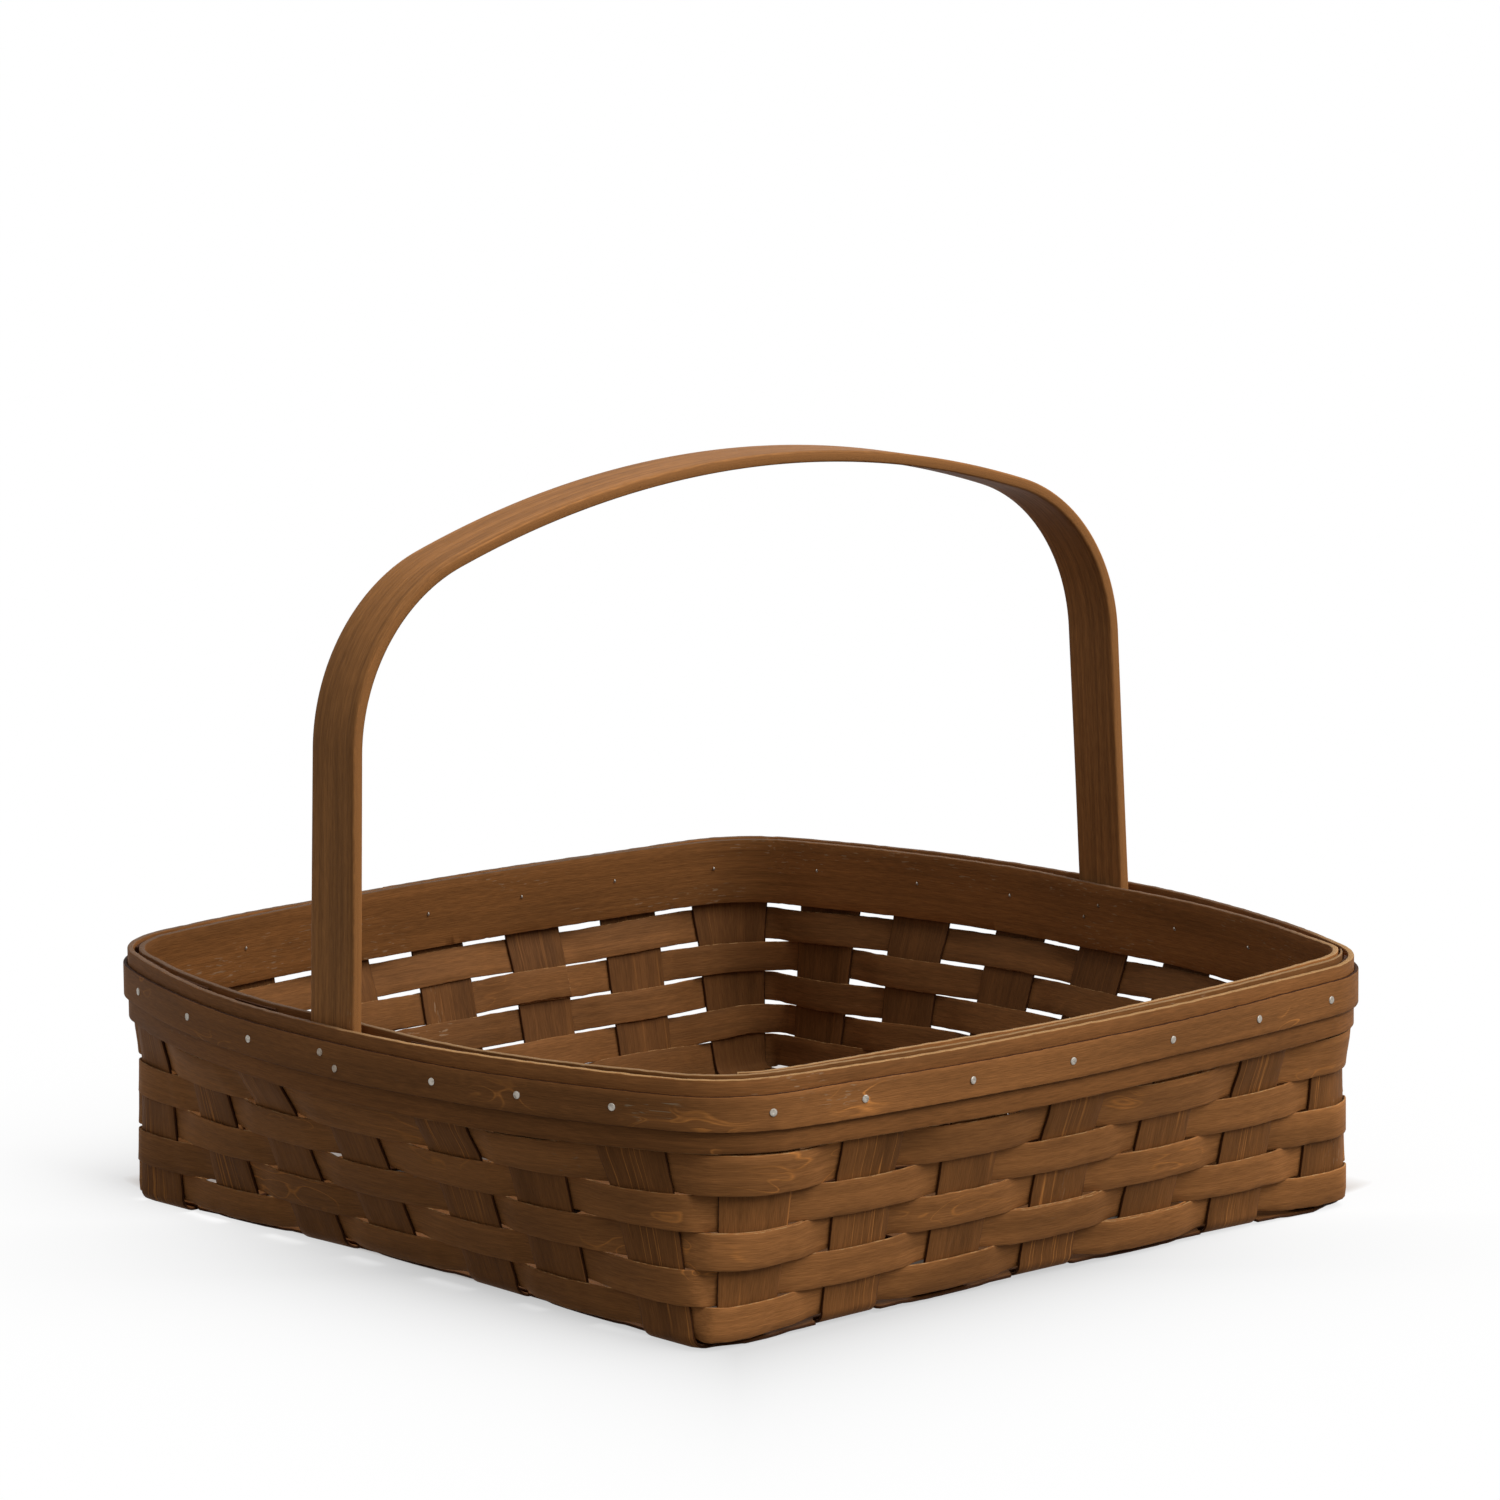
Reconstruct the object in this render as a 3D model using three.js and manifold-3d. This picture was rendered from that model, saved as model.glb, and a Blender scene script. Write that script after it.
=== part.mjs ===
// Square pie basket woven of wood splints, with a fixed bentwood handle.
// Millimetres, +Z up. The origin is on the ground under the middle of the basket.
// +X runs along the handle's span, -Y is the front.

import * as THREE from 'three';
import { mergeVertices } from 'three/addons/utils/BufferGeometryUtils.js';
import Module from 'manifold-3d';

const wasm = await Module();
wasm.setup();

// Body
const RIM_LENGTH = 331; // along X, over the outer band at the middle of the handle sides
const RIM_WIDTH = 316; // along Y, over the outer band at the middle of the free sides
const RIM_CORNER = 36; // corner radius of the outer band
const HANDLE_SIDE_BOW = 22.9; // how far the middle of a handle side stands out past its corners
const FREE_SIDE_BOW = 8; // the same on the two sides without a handle
const BASE_SIZE = 270; // square in which the slanting walls meet the floor
const BASE_CORNER = 5; // corner radius of the walls down at the floor
const HANDLE_SIDE_BEND = 7; // turn from floor to wall, middle of a handle side
const FREE_SIDE_BEND = 5; // the same at the middle of a free side
const CORNER_BEND = 3.5; // the same beside the corners
const BEND_START = 0.5; // heights above the floor at which strips follow that turn
const BEND_END = 3.4;
const HANDLE_SIDE_LIFT = 2; // how far the floor is lifted at the middle of a handle side
const FREE_SIDE_LIFT = 0.8; // the same at the middle of a free side

// Stakes: strips that cross in the floor and stand up in the walls
const STAKES = 7; // on each side
const STAKE_WIDTH = 22;
const STAKE_THICKNESS = 1.2;
const STAKE_MARGIN = 5.7; // from the base square in to the outermost stake edge
const STAKE_SET_DOWN = 1; // how far the stake ends stay below the rim's top
const RIM_EASE = 1; // run, each way, in which a stake turns upright at the rim

// Weavers: rows that run round the walls
const ROWS = 5;
const WEAVER_WIDTH = 10;
const WEAVER_THICKNESS = 0.9;
const ROW_SLIT = 1; // open slit between two rows
const RIM_SLIT = 2.2; // open slit between the top row and the outer band
const FOOT_RISE = 1.4; // from the floor's middle plane up to the lowest row
const SPLICE_STAKES = [27, 16, 27, 2, 3]; // stake, counted round from the front left, where a row starts
const LAPPED_STAKES = 3; // stakes at which the end of a row lies over its start

// Rim
const BAND_HEIGHT = 22;
const BAND_THICKNESS = 3.2;
const INNER_BAND_HEIGHT = 22;
const INNER_BAND_THICKNESS = 3.2;
const INNER_BAND_RISE = 0.8; // how far, at least, the inner band stands above the outer one
const TOP_ROW_CLEARANCE = 0.3; // least gap from the top row, inside, up to the inner band
const TRIM_HEIGHT = 10.8;
const TRIM_RISE = 1.2; // from the middle of the outer band up to the middle of the trim
const TRIM_THICKNESS = 1;
const SCARF_TIP = 0.35; // thickness left at the feathered end of a lapped strip
const SCARF_GAP = 0.25; // between the two feathered ends
const SCARF_STEP = 0.6; // run in which a lapped strip comes back to full thickness

// Handle
const HANDLE_TOP = 237;
const HANDLE_WIDTH = 20;
const HANDLE_THICKNESS = 3.6;
const HANDLE_EASE = 0.8; // bevel along its four long edges
const LEFT_LEG_LEAN = THREE.MathUtils.degToRad(1.7); // how far a leg leans in above the rim
const RIGHT_LEG_LEAN = THREE.MathUtils.degToRad(3);
const CROWN_RADIUS = 376;
const SHOULDER_RADIUS = 60;
const CROWN_STEPS = 5; // facets in half the crown
const SHOULDER_STEPS = 6; // facets in a shoulder
const LEG_END_GAP = 1; // from the bottom of the outer band up to the end of a leg

// Tacks
const TACK_HEAD_RADIUS = 1.15;
const TACK_HEAD_TOP_RADIUS = 0.9;
const TACK_HEAD_THICKNESS = 0.55;
const TACK_HEAD_SIDES = 7;
const TACK_SHANK_SIDES = 4;
const TACK_HEAD_GAP = 0.2; // between the head and the trim strip
const TACK_SHANK = 1.1; // across the corners of the square shank, under the head
const TACK_POINT = 0.5; // across the corners at the end
const TACK_CLINCH = 0.4; // how far the end comes through the inner band
const TACK_HOLE_CLEARANCE = 0.25; // round the shank, on its half diagonal
const HANDLE_TACK_SHIFT = 3.4; // the pair at a leg, each way along the rim
const HANDLE_TACK_STEP = 2; // and each way up or down
const TACK_SHIFTS = { // hand-placed: how far a tack sits from the middle of its stake
  front: [-0.4, -8.8, -8.7, -8.8, -5.9, -5.6, -9],
  right: [0, 0, 0, 0, 0, 0, 0],
  back: [0, 0, 0, 0, 0, 0, 0],
  left: [2.4, 3.8, 2.8, 3.9, 8.8, 0.7, -7.5],
};

const SEAT_GAP = 0.4; // clearance between pieces that lie on each other
const SLOPE_STEP = 0.05; // height step used to read the slope of a wall

// Sizes that follow from those above
const STAKE_PITCH = (BASE_SIZE - 2 * STAKE_MARGIN - STAKE_WIDTH) / (STAKES - 1);
const END_STAKE = (STAKE_PITCH * (STAKES - 1)) / 2;
const MIDDLE_STAKE = (STAKES - 1) / 2;
const FLOOR_WAVE = (STAKE_THICKNESS + SEAT_GAP) / 2;
const WALL_WAVE = (STAKE_THICKNESS + WEAVER_THICKNESS) / 2 + SEAT_GAP;
const SPLICE_LIFT = WEAVER_THICKNESS + SEAT_GAP;
const FLOOR_LEVEL = FLOOR_WAVE + STAKE_THICKNESS / 2;
const ROW_PITCH = WEAVER_WIDTH + ROW_SLIT;
const LOWEST_ROW = FLOOR_LEVEL + FOOT_RISE;
const RIM_BOTTOM = LOWEST_ROW + ROWS * ROW_PITCH - ROW_SLIT + RIM_SLIT;
const RIM_TOP = RIM_BOTTOM + BAND_HEIGHT;
const TACK_LINE = (RIM_BOTTOM + RIM_TOP) / 2 + TRIM_RISE;
const STAKE_TO_BAND = BAND_THICKNESS + SEAT_GAP + STAKE_THICKNESS / 2;
const LEG_OUTER = RIM_LENGTH / 2 - BAND_THICKNESS - SEAT_GAP;
const LEG_SPREAD = HANDLE_THICKNESS + SEAT_GAP;
const INNER_BAND_FACE = -STAKE_THICKNESS / 2 - SEAT_GAP;


const splintBrown = { color: 0x5f3e23, roughness: 0.62, metalness: 0 };
const FINISHES = {
  stake: new THREE.MeshStandardMaterial(splintBrown),
  weaver: new THREE.MeshStandardMaterial({ ...splintBrown, color: 0x6a4526 }),
  band: new THREE.MeshStandardMaterial({ ...splintBrown, color: 0x5a3a22 }),
  handle: new THREE.MeshStandardMaterial({ ...splintBrown, color: 0x7a5230, roughness: 0.55 }),
  tack: new THREE.MeshStandardMaterial({ color: 0xa8a8a4, roughness: 0.4, metalness: 0.9 }),
};

// Four sides, counted from the front the way the weavers run: front, right, back, left.
const OUTWARD = [[0, -1], [1, 0], [0, 1], [-1, 0]];
const ALONG = [[1, 0], [0, 1], [-1, 0], [0, -1]];

// Half size of a wall at height z: flat floor, round bend, straight slant, upright rim.
function wallProfile(base, rim, bend, z) {
  const rise = RIM_BOTTOM - FLOOR_LEVEL;
  const slope = (rim - base) / rise;
  const lean = Math.atan(slope);
  const height = z - FLOOR_LEVEL;
  if (height >= rise) return rim;
  if (height >= bend * (1 - Math.sin(lean))) return base + slope * height;
  const bendStart = base - bend * Math.tan((Math.PI / 2 - lean) / 2);
  return bendStart + Math.sqrt(bend ** 2 - (bend - height) ** 2);
}

// Distance out and outward normal at place a along a side bowed with the given curvature.
function bowedSide(middle, curvature, a) {
  const cosine = Math.sqrt(1 - (curvature * a) ** 2);
  return { out: middle - (curvature * a * a) / (1 + cosine), sine: curvature * a, cosine };
}

// A wall surface: for each height, the outline of four bowed sides and round corners.
function makeSurface({ halfX, halfY, bowX, bowY, corner }) {
  const known = new Map();
  const measure = (z) => {
    const share = THREE.MathUtils.clamp((z - FLOOR_LEVEL) / (RIM_BOTTOM - FLOOR_LEVEL), 0, 1);
    const radius = THREE.MathUtils.lerp(BASE_CORNER, corner, share);
    const centreX = wallProfile(BASE_SIZE / 2, halfX - bowX, CORNER_BEND, z) - radius;
    const centreY = wallProfile(BASE_SIZE / 2, halfY - bowY, CORNER_BEND, z) - radius;
    const side = (half, bend, centreAlong, centreOut) => {
      const middle = wallProfile(BASE_SIZE / 2, half, bend, z);
      const bow = middle - centreOut - radius;
      const curvature = (2 * bow) / (centreAlong ** 2 + bow ** 2 + 2 * bow * radius);
      return { middle, curvature, radius, centreAlong, centreOut };
    };
    return [
      side(halfY, FREE_SIDE_BEND, centreX, centreY),
      side(halfX, HANDLE_SIDE_BEND, centreY, centreX),
    ];
  };
  return (z) => {
    if (!known.has(z)) known.set(z, measure(z));
    return known.get(z);
  };
}

const wallSurface = makeSurface({
  halfX: RIM_LENGTH / 2 - STAKE_TO_BAND - LEG_SPREAD,
  halfY: RIM_WIDTH / 2 - STAKE_TO_BAND,
  bowX: HANDLE_SIDE_BOW - LEG_SPREAD,
  bowY: FREE_SIDE_BOW,
  corner: RIM_CORNER - STAKE_TO_BAND,
});
const rimSurface = makeSurface({
  halfX: RIM_LENGTH / 2,
  halfY: RIM_WIDTH / 2,
  bowX: HANDLE_SIDE_BOW,
  bowY: FREE_SIDE_BOW,
  corner: RIM_CORNER,
});

// Places across a stake at which strips are bent: its edges, and the middle of an end stake,
// which stands in the turn of a corner.
function acrossStake(a) {
  const half = STAKE_WIDTH / 2;
  const atEnd = Math.abs(a) > END_STAKE - STAKE_PITCH / 2;
  return atEnd ? [a - half, a, a + half] : [a - half, a + half];
}

// Distance out and outward normal at place a of a side or of the corner arcs at its ends.
function besideStake(outline, a) {
  const { middle, curvature, radius, centreAlong, centreOut } = outline;
  const tangent = centreAlong / (1 - radius * curvature);
  if (Math.abs(a) <= tangent) return bowedSide(middle, curvature, a);
  const sine = (Math.sign(a) * (Math.abs(a) - centreAlong)) / radius;
  const cosine = Math.sqrt(1 - sine * sine);
  return { out: centreOut + radius * cosine, sine, cosine };
}

// Plan position and normal of a station: a place a on a side, or a share of the corner after it.
function planSpot(section, { side, a, share }) {
  const outline = section[side % 2];
  let spot;
  if (share === undefined) {
    spot = { a, ...besideStake(outline, a) };
  } else {
    const edge = END_STAKE + STAKE_WIDTH / 2;
    const turnAt = (line) => {
      const tangent = line.centreAlong / (1 - line.radius * line.curvature);
      return Math.asin(besideStake(line, Math.max(edge, tangent)).sine);
    };
    const last = Math.PI / 2 - turnAt(section[(side + 1) % 2]);
    const turn = THREE.MathUtils.lerp(turnAt(outline), last, share);
    const { radius, centreAlong, centreOut } = outline;
    const sine = Math.sin(turn);
    const cosine = Math.cos(turn);
    spot = { a: centreAlong + radius * sine, out: centreOut + radius * cosine, sine, cosine };
  }
  const inPlan = (along, out) => new THREE.Vector2(
    ALONG[side][0] * along + OUTWARD[side][0] * out,
    ALONG[side][1] * along + OUTWARD[side][1] * out,
  );
  return { place: inPlan(spot.a, spot.out), normal: inPlan(spot.sine, spot.cosine) };
}

// Outward normal in space of a surface at a station and height.
function surfaceNormal(surface, station, z) {
  const here = planSpot(surface(z), station);
  const above = planSpot(surface(z + SLOPE_STEP), station);
  const slope = above.place.sub(here.place).dot(here.normal) / SLOPE_STEP;
  return new THREE.Vector3(here.normal.x, here.normal.y, -slope).normalize();
}

// Point at a station and height, moved out from the surface by an offset.
function surfacePoint(surface, station, z, offset) {
  const { place } = planSpot(surface(z), station);
  const point = new THREE.Vector3(place.x, place.y, z);
  return point.addScaledVector(surfaceNormal(surface, station, z), offset);
}

// The floor is arched: it stands on its corner crossings and is lifted between them, and the walls
// take up that lift on their way to the level rim.
function lifted(point) {
  const flat = END_STAKE - STAKE_WIDTH / 2;
  const arch = (place) => Math.max(0, 1 - (place / flat) ** 2);
  const lift = HANDLE_SIDE_LIFT * arch(point.y) + FREE_SIDE_LIFT * arch(point.x);
  const share = THREE.MathUtils.clamp((point.z - FLOOR_LEVEL) / (RIM_BOTTOM - FLOOR_LEVEL), 0, 1);
  return point.setZ(point.z + lift * (1 - share));
}

// Closed solid through a run of rings. A ring lists its inner edge, then its outer edge back.
function sweptSolid(rings) {
  const count = rings[0].length;
  const index = [];
  const quad = (a, b, c, d) => index.push(a, b, c, a, c, d);
  for (let ring = 0; ring + 1 < rings.length; ring++) {
    for (let i = 0; i < count; i++) {
      const here = ring * count + i;
      const next = ring * count + ((i + 1) % count);
      quad(here, next, next + count, here + count);
    }
  }
  const end = (rings.length - 1) * count;
  for (let i = 0; i + 1 < count / 2; i++) {
    const across = count - 1 - i;
    quad(i, across, across - 1, i + 1);
    quad(end + i, end + i + 1, end + across - 1, end + across);
  }
  const geometry = new THREE.BufferGeometry().setFromPoints(rings.flat());
  geometry.setIndex(index);
  return geometry;
}

// Boolean cuts
function toSolid(geometry) {
  const bare = geometry.clone();
  bare.deleteAttribute('normal');
  bare.deleteAttribute('uv');
  const merged = mergeVertices(bare);
  return new wasm.Manifold(new wasm.Mesh({
    numProp: 3,
    vertProperties: new Float32Array(merged.attributes.position.array),
    triVerts: new Uint32Array(merged.index.array),
  }));
}

function toGeometry(solid) {
  const mesh = solid.getMesh();
  const geometry = new THREE.BufferGeometry();
  geometry.setAttribute('position', new THREE.BufferAttribute(mesh.vertProperties, mesh.numProp));
  geometry.setIndex(new THREE.BufferAttribute(mesh.triVerts, 1));
  return geometry;
}

function drilled(geometry, tacks) {
  const cut = tacks.reduce((solid, tack) => solid.subtract(toSolid(tack.hole)), toSolid(geometry));
  return toGeometry(cut);
}

const basket = new THREE.Group();

function addPiece(name, geometry, finish) {
  geometry.computeVertexNormals();
  const piece = new THREE.Mesh(geometry, finish);
  piece.name = name;
  basket.add(piece);
  return piece;
}

// Tacks: a round head on the trim strip and a square shank through the whole rim.
function makeTack(name, side, a, z) {
  const station = { side, a };
  const seat = surfacePoint(rimSurface, station, z, TRIM_THICKNESS + SEAT_GAP + TACK_HEAD_GAP);
  const axis = surfaceNormal(rimSurface, station, z);
  const inside = surfacePoint(wallSurface, station, z, INNER_BAND_FACE - INNER_BAND_THICKNESS);
  const length = seat.clone().sub(inside).dot(axis) + TACK_CLINCH;
  const turn = new THREE.Quaternion().setFromUnitVectors(new THREE.Vector3(0, 1, 0), axis);
  const bore = TACK_SHANK / 2 + TACK_HOLE_CLEARANCE;
  const hole = new THREE.CylinderGeometry(bore, bore, 2 * length, TACK_SHANK_SIDES);
  hole.applyQuaternion(turn).translate(seat.x, seat.y, seat.z);
  return { name, side, a, seat, turn, length, hole };
}

function tackSolid({ length }) {
  const head = new THREE.CylinderGeometry(
    TACK_HEAD_TOP_RADIUS, TACK_HEAD_RADIUS, TACK_HEAD_THICKNESS, TACK_HEAD_SIDES,
  );
  head.translate(0, TACK_HEAD_THICKNESS / 2, 0);
  const overlap = TACK_HEAD_THICKNESS / 2;
  const shank = new THREE.CylinderGeometry(
    TACK_SHANK / 2, TACK_POINT / 2, length + overlap, TACK_SHANK_SIDES,
  );
  shank.translate(0, (overlap - length) / 2, 0);
  return toGeometry(toSolid(head).add(toSolid(shank)));
}

const SIDE_NAMES = ['front', 'right', 'back', 'left'];
const tacks = [];
SIDE_NAMES.forEach((sideName, side) => {
  const places = [];
  for (let stake = 0; stake < STAKES; stake++) {
    const a = (stake - MIDDLE_STAKE) * STAKE_PITCH + TACK_SHIFTS[sideName][stake];
    const underHandle = side % 2 === 1 && stake === MIDDLE_STAKE;
    if (underHandle) {
      places.push([a - HANDLE_TACK_SHIFT, TACK_LINE + HANDLE_TACK_STEP]);
      places.push([a + HANDLE_TACK_SHIFT, TACK_LINE - HANDLE_TACK_STEP]);
    } else {
      places.push([a, TACK_LINE]);
    }
  }
  places.forEach(([a, z], i) => tacks.push(makeTack(`tack_${sideName}_${i + 1}`, side, a, z)));
});
for (const tack of tacks) {
  const piece = addPiece(tack.name, tackSolid(tack), FINISHES.tack);
  piece.position.copy(tack.seat);
  piece.quaternion.copy(tack.turn);
}

// Stakes. Each stands up one wall, crosses the floor and stands up the wall opposite.
// Strips along Y start on the front, strips along X on the left.
function floorWave(alongY, own, other) {
  const even = (own + other) % 2 === 0;
  return even === alongY ? FLOOR_WAVE : -FLOOR_WAVE;
}

function stakeSolid(alongY, number) {
  const start = alongY ? 0 : 3;
  const a = (alongY ? number - MIDDLE_STAKE : MIDDLE_STAKE - number) * STAKE_PITCH;
  const across = acrossStake(a);
  const ring = (pointAt) => [
    ...across.map((along) => pointAt(along, -STAKE_THICKNESS / 2)),
    ...across.toReversed().map((along) => pointAt(along, STAKE_THICKNESS / 2)),
  ];
  const wallStation = (far, along) => far
    ? { side: (start + 2) % 4, a: -along }
    : { side: start, a: along };
  const wallRing = (far, z) => ring((along, offset) => (
    surfacePoint(wallSurface, wallStation(far, along), z, offset)
  ));
  const floorPoint = (along, out, wave) => new THREE.Vector3(
    ALONG[start][0] * along + OUTWARD[start][0] * out,
    ALONG[start][1] * along + OUTWARD[start][1] * out,
    FLOOR_LEVEL - wave,
  );

  const wallHeight = RIM_BOTTOM - FLOOR_LEVEL;
  const slits = Array.from({ length: ROWS - 1 }, (_, i) => FOOT_RISE + (i + 1) * ROW_PITCH - ROW_SLIT / 2);
  const heights = [
    BEND_START,
    FOOT_RISE,
    BEND_END,
    ...slits,
    wallHeight - RIM_EASE,
    wallHeight + RIM_EASE,
    RIM_TOP - STAKE_SET_DOWN - FLOOR_LEVEL,
  ];
  const wall = (far) => heights.map((height) => wallRing(far, FLOOR_LEVEL + height));
  const foot = (far, wave) => ring((along, offset) => {
    const { out } = besideStake(wallSurface(FLOOR_LEVEL)[start % 2], along);
    return floorPoint(along, far ? -out : out, wave + offset);
  });

  const waves = Array.from({ length: STAKES }, (_, other) => floorWave(alongY, number, other));
  const floor = waves.flatMap((wave, other) => {
    const crossing = (MIDDLE_STAKE - other) * STAKE_PITCH;
    return [crossing + STAKE_WIDTH / 2, crossing - STAKE_WIDTH / 2].map((out) => (
      ring((along, offset) => floorPoint(along, out, wave + offset))
    ));
  });
  const rings = [
    ...wall(false).toReversed(),
    foot(false, waves[0]),
    ...floor,
    foot(true, waves[STAKES - 1]),
    ...wall(true),
  ];
  return sweptSolid(rings.map((points) => points.map(lifted)));
}

function tacksOnStake(alongY, number) {
  const ownA = (number - MIDDLE_STAKE) * STAKE_PITCH;
  return tacks.filter(({ side, a }) => {
    const ownSide = (side % 2 === 0) === alongY;
    const place = side < 2 ? a : -a;
    return ownSide && Math.abs(place - ownA) < STAKE_PITCH / 2;
  });
}

for (let number = 0; number < STAKES; number++) {
  for (const alongY of [true, false]) {
    const name = `stake_along_${alongY ? 'y' : 'x'}_${number + 1}`;
    const geometry = drilled(stakeSolid(alongY, number), tacksOnStake(alongY, number));
    addPiece(name, geometry, FINISHES.stake);
  }
}

// Stations round the basket, in the order a weaver meets them.
const STAKES_ROUND = 4 * STAKES;
const CORNER_SHARES = [0.2, 0.5, 0.8];

function stakePlace(count) {
  const inRound = ((count % STAKES_ROUND) + STAKES_ROUND) % STAKES_ROUND;
  const side = Math.floor(inRound / STAKES);
  const onSide = inRound % STAKES;
  return { side, a: (onSide - MIDDLE_STAKE) * STAKE_PITCH, lastOnSide: onSide === STAKES - 1 };
}

// Weavers. Row 1 is the top one. A row starts behind a stake, goes once round, and its end laps
// over its start for two more stakes.
function weaverSolid(row) {
  const splice = SPLICE_STAKES[row - 1];
  const bottom = LOWEST_ROW + (ROWS - row) * ROW_PITCH;
  const bend = row === ROWS ? [FLOOR_LEVEL + BEND_END] : [];
  const heights = [bottom, ...bend, bottom + WEAVER_WIDTH];
  const ring = (station, wave) => [
    ...heights.map((z) => surfacePoint(wallSurface, station, z, wave - WEAVER_THICKNESS / 2)),
    ...heights.toReversed().map((z) => surfacePoint(wallSurface, station, z, wave + WEAVER_THICKNESS / 2)),
  ];
  const waveAt = (count) => {
    const outside = (splice + count + row) % 2 === 1;
    if (count < LAPPED_STAKES && !outside) return -WALL_WAVE - SPLICE_LIFT;
    if (count >= STAKES_ROUND && outside) return WALL_WAVE + SPLICE_LIFT;
    return outside ? WALL_WAVE : -WALL_WAVE;
  };
  const rings = [];
  const total = STAKES_ROUND + LAPPED_STAKES;
  for (let count = 0; count < total; count++) {
    const { side, a, lastOnSide } = stakePlace(splice + count);
    const wave = waveAt(count);
    acrossStake(a).forEach((along) => rings.push(ring({ side, a: along }, wave)));
    if (lastOnSide && count + 1 < total) {
      const next = waveAt(count + 1);
      for (const share of CORNER_SHARES) {
        rings.push(ring({ side, share }, THREE.MathUtils.lerp(wave, next, share)));
      }
    }
  }
  return sweptSolid(rings.map((points) => points.map(lifted)));
}

for (let row = 1; row <= ROWS; row++) {
  addPiece(`weaver_row_${row}`, weaverSolid(row), FINISHES.weaver);
}

// Rim strips: one turn round the basket, closed by a feathered lap on one side. The inner band
// starts above the top row, whose inner edge comes up where the wall leans out.
function bandStations(lap) {
  const regular = [];
  for (let count = 0; count < STAKES_ROUND; count++) {
    const { side, a, lastOnSide } = stakePlace(count);
    acrossStake(a).forEach((along) => regular.push({ side, a: along }));
    if (lastOnSide) CORNER_SHARES.forEach((share) => regular.push({ side, share }));
  }
  const first = regular.findIndex(({ side, a }) => side === lap.side && a > lap.from);
  const turned = [...regular.slice(first), ...regular.slice(0, first)];
  const after = turned.findIndex(({ a }) => a > lap.to);
  return { within: turned.slice(0, after), rest: turned.slice(after) };
}

function bandSolid({ surface, bottom, top, inner, outer, lapSide, lapStake }) {
  const lap = {
    side: lapSide,
    from: (lapStake - 1 / 2 - MIDDLE_STAKE) * STAKE_PITCH,
    to: (lapStake + 1 / 2 - MIDDLE_STAKE) * STAKE_PITCH,
  };
  const { within, rest } = bandStations(lap);
  const ring = (station, low, high) => [
    surfacePoint(surface, station, bottom, low),
    surfacePoint(surface, station, top, low),
    surfacePoint(surface, station, top, high),
    surfacePoint(surface, station, bottom, high),
  ];
  const seamAt = (a) => THREE.MathUtils.mapLinear(
    a, lap.from, lap.to, inner + SCARF_TIP, outer - SCARF_TIP - SCARF_GAP,
  );
  const at = (a) => ({ side: lap.side, a });
  const lapPlaces = [at(lap.from), ...within, at(lap.to)];
  return sweptSolid([
    ...lapPlaces.map((station) => ring(station, inner, seamAt(station.a))),
    ring(at(lap.to + SCARF_STEP), inner, outer),
    ...rest.map((station) => ring(station, inner, outer)),
    ring(at(lap.from - SCARF_STEP), inner, outer),
    ...lapPlaces.map((station) => ring(station, seamAt(station.a) + SCARF_GAP, outer)),
  ]);
}

function topRowInside(side) {
  const depth = WALL_WAVE + SPLICE_LIFT + WEAVER_THICKNESS / 2;
  return surfacePoint(wallSurface, { side, a: 0 }, RIM_BOTTOM - RIM_SLIT, -depth).z;
}

const innerBottom = Math.max(
  RIM_TOP + INNER_BAND_RISE - INNER_BAND_HEIGHT,
  topRowInside(0) + TOP_ROW_CLEARANCE,
  topRowInside(1) + TOP_ROW_CLEARANCE,
);
const RIM_STRIPS = {
  inner_rim_band: {
    surface: wallSurface,
    bottom: innerBottom,
    top: innerBottom + INNER_BAND_HEIGHT,
    inner: INNER_BAND_FACE - INNER_BAND_THICKNESS,
    outer: INNER_BAND_FACE,
    lapSide: 0,
    lapStake: 5,
  },
  outer_rim_band: {
    surface: rimSurface,
    bottom: RIM_BOTTOM,
    top: RIM_TOP,
    inner: -BAND_THICKNESS,
    outer: 0,
    lapSide: 2,
    lapStake: 3,
  },
  rim_trim_strip: {
    surface: rimSurface,
    bottom: TACK_LINE - TRIM_HEIGHT / 2,
    top: TACK_LINE + TRIM_HEIGHT / 2,
    inner: SEAT_GAP,
    outer: SEAT_GAP + TRIM_THICKNESS,
    lapSide: 1,
    lapStake: 2,
  },
};
for (const [name, strip] of Object.entries(RIM_STRIPS)) {
  addPiece(name, drilled(bandSolid(strip), tacks), FINISHES.band);
}

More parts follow.
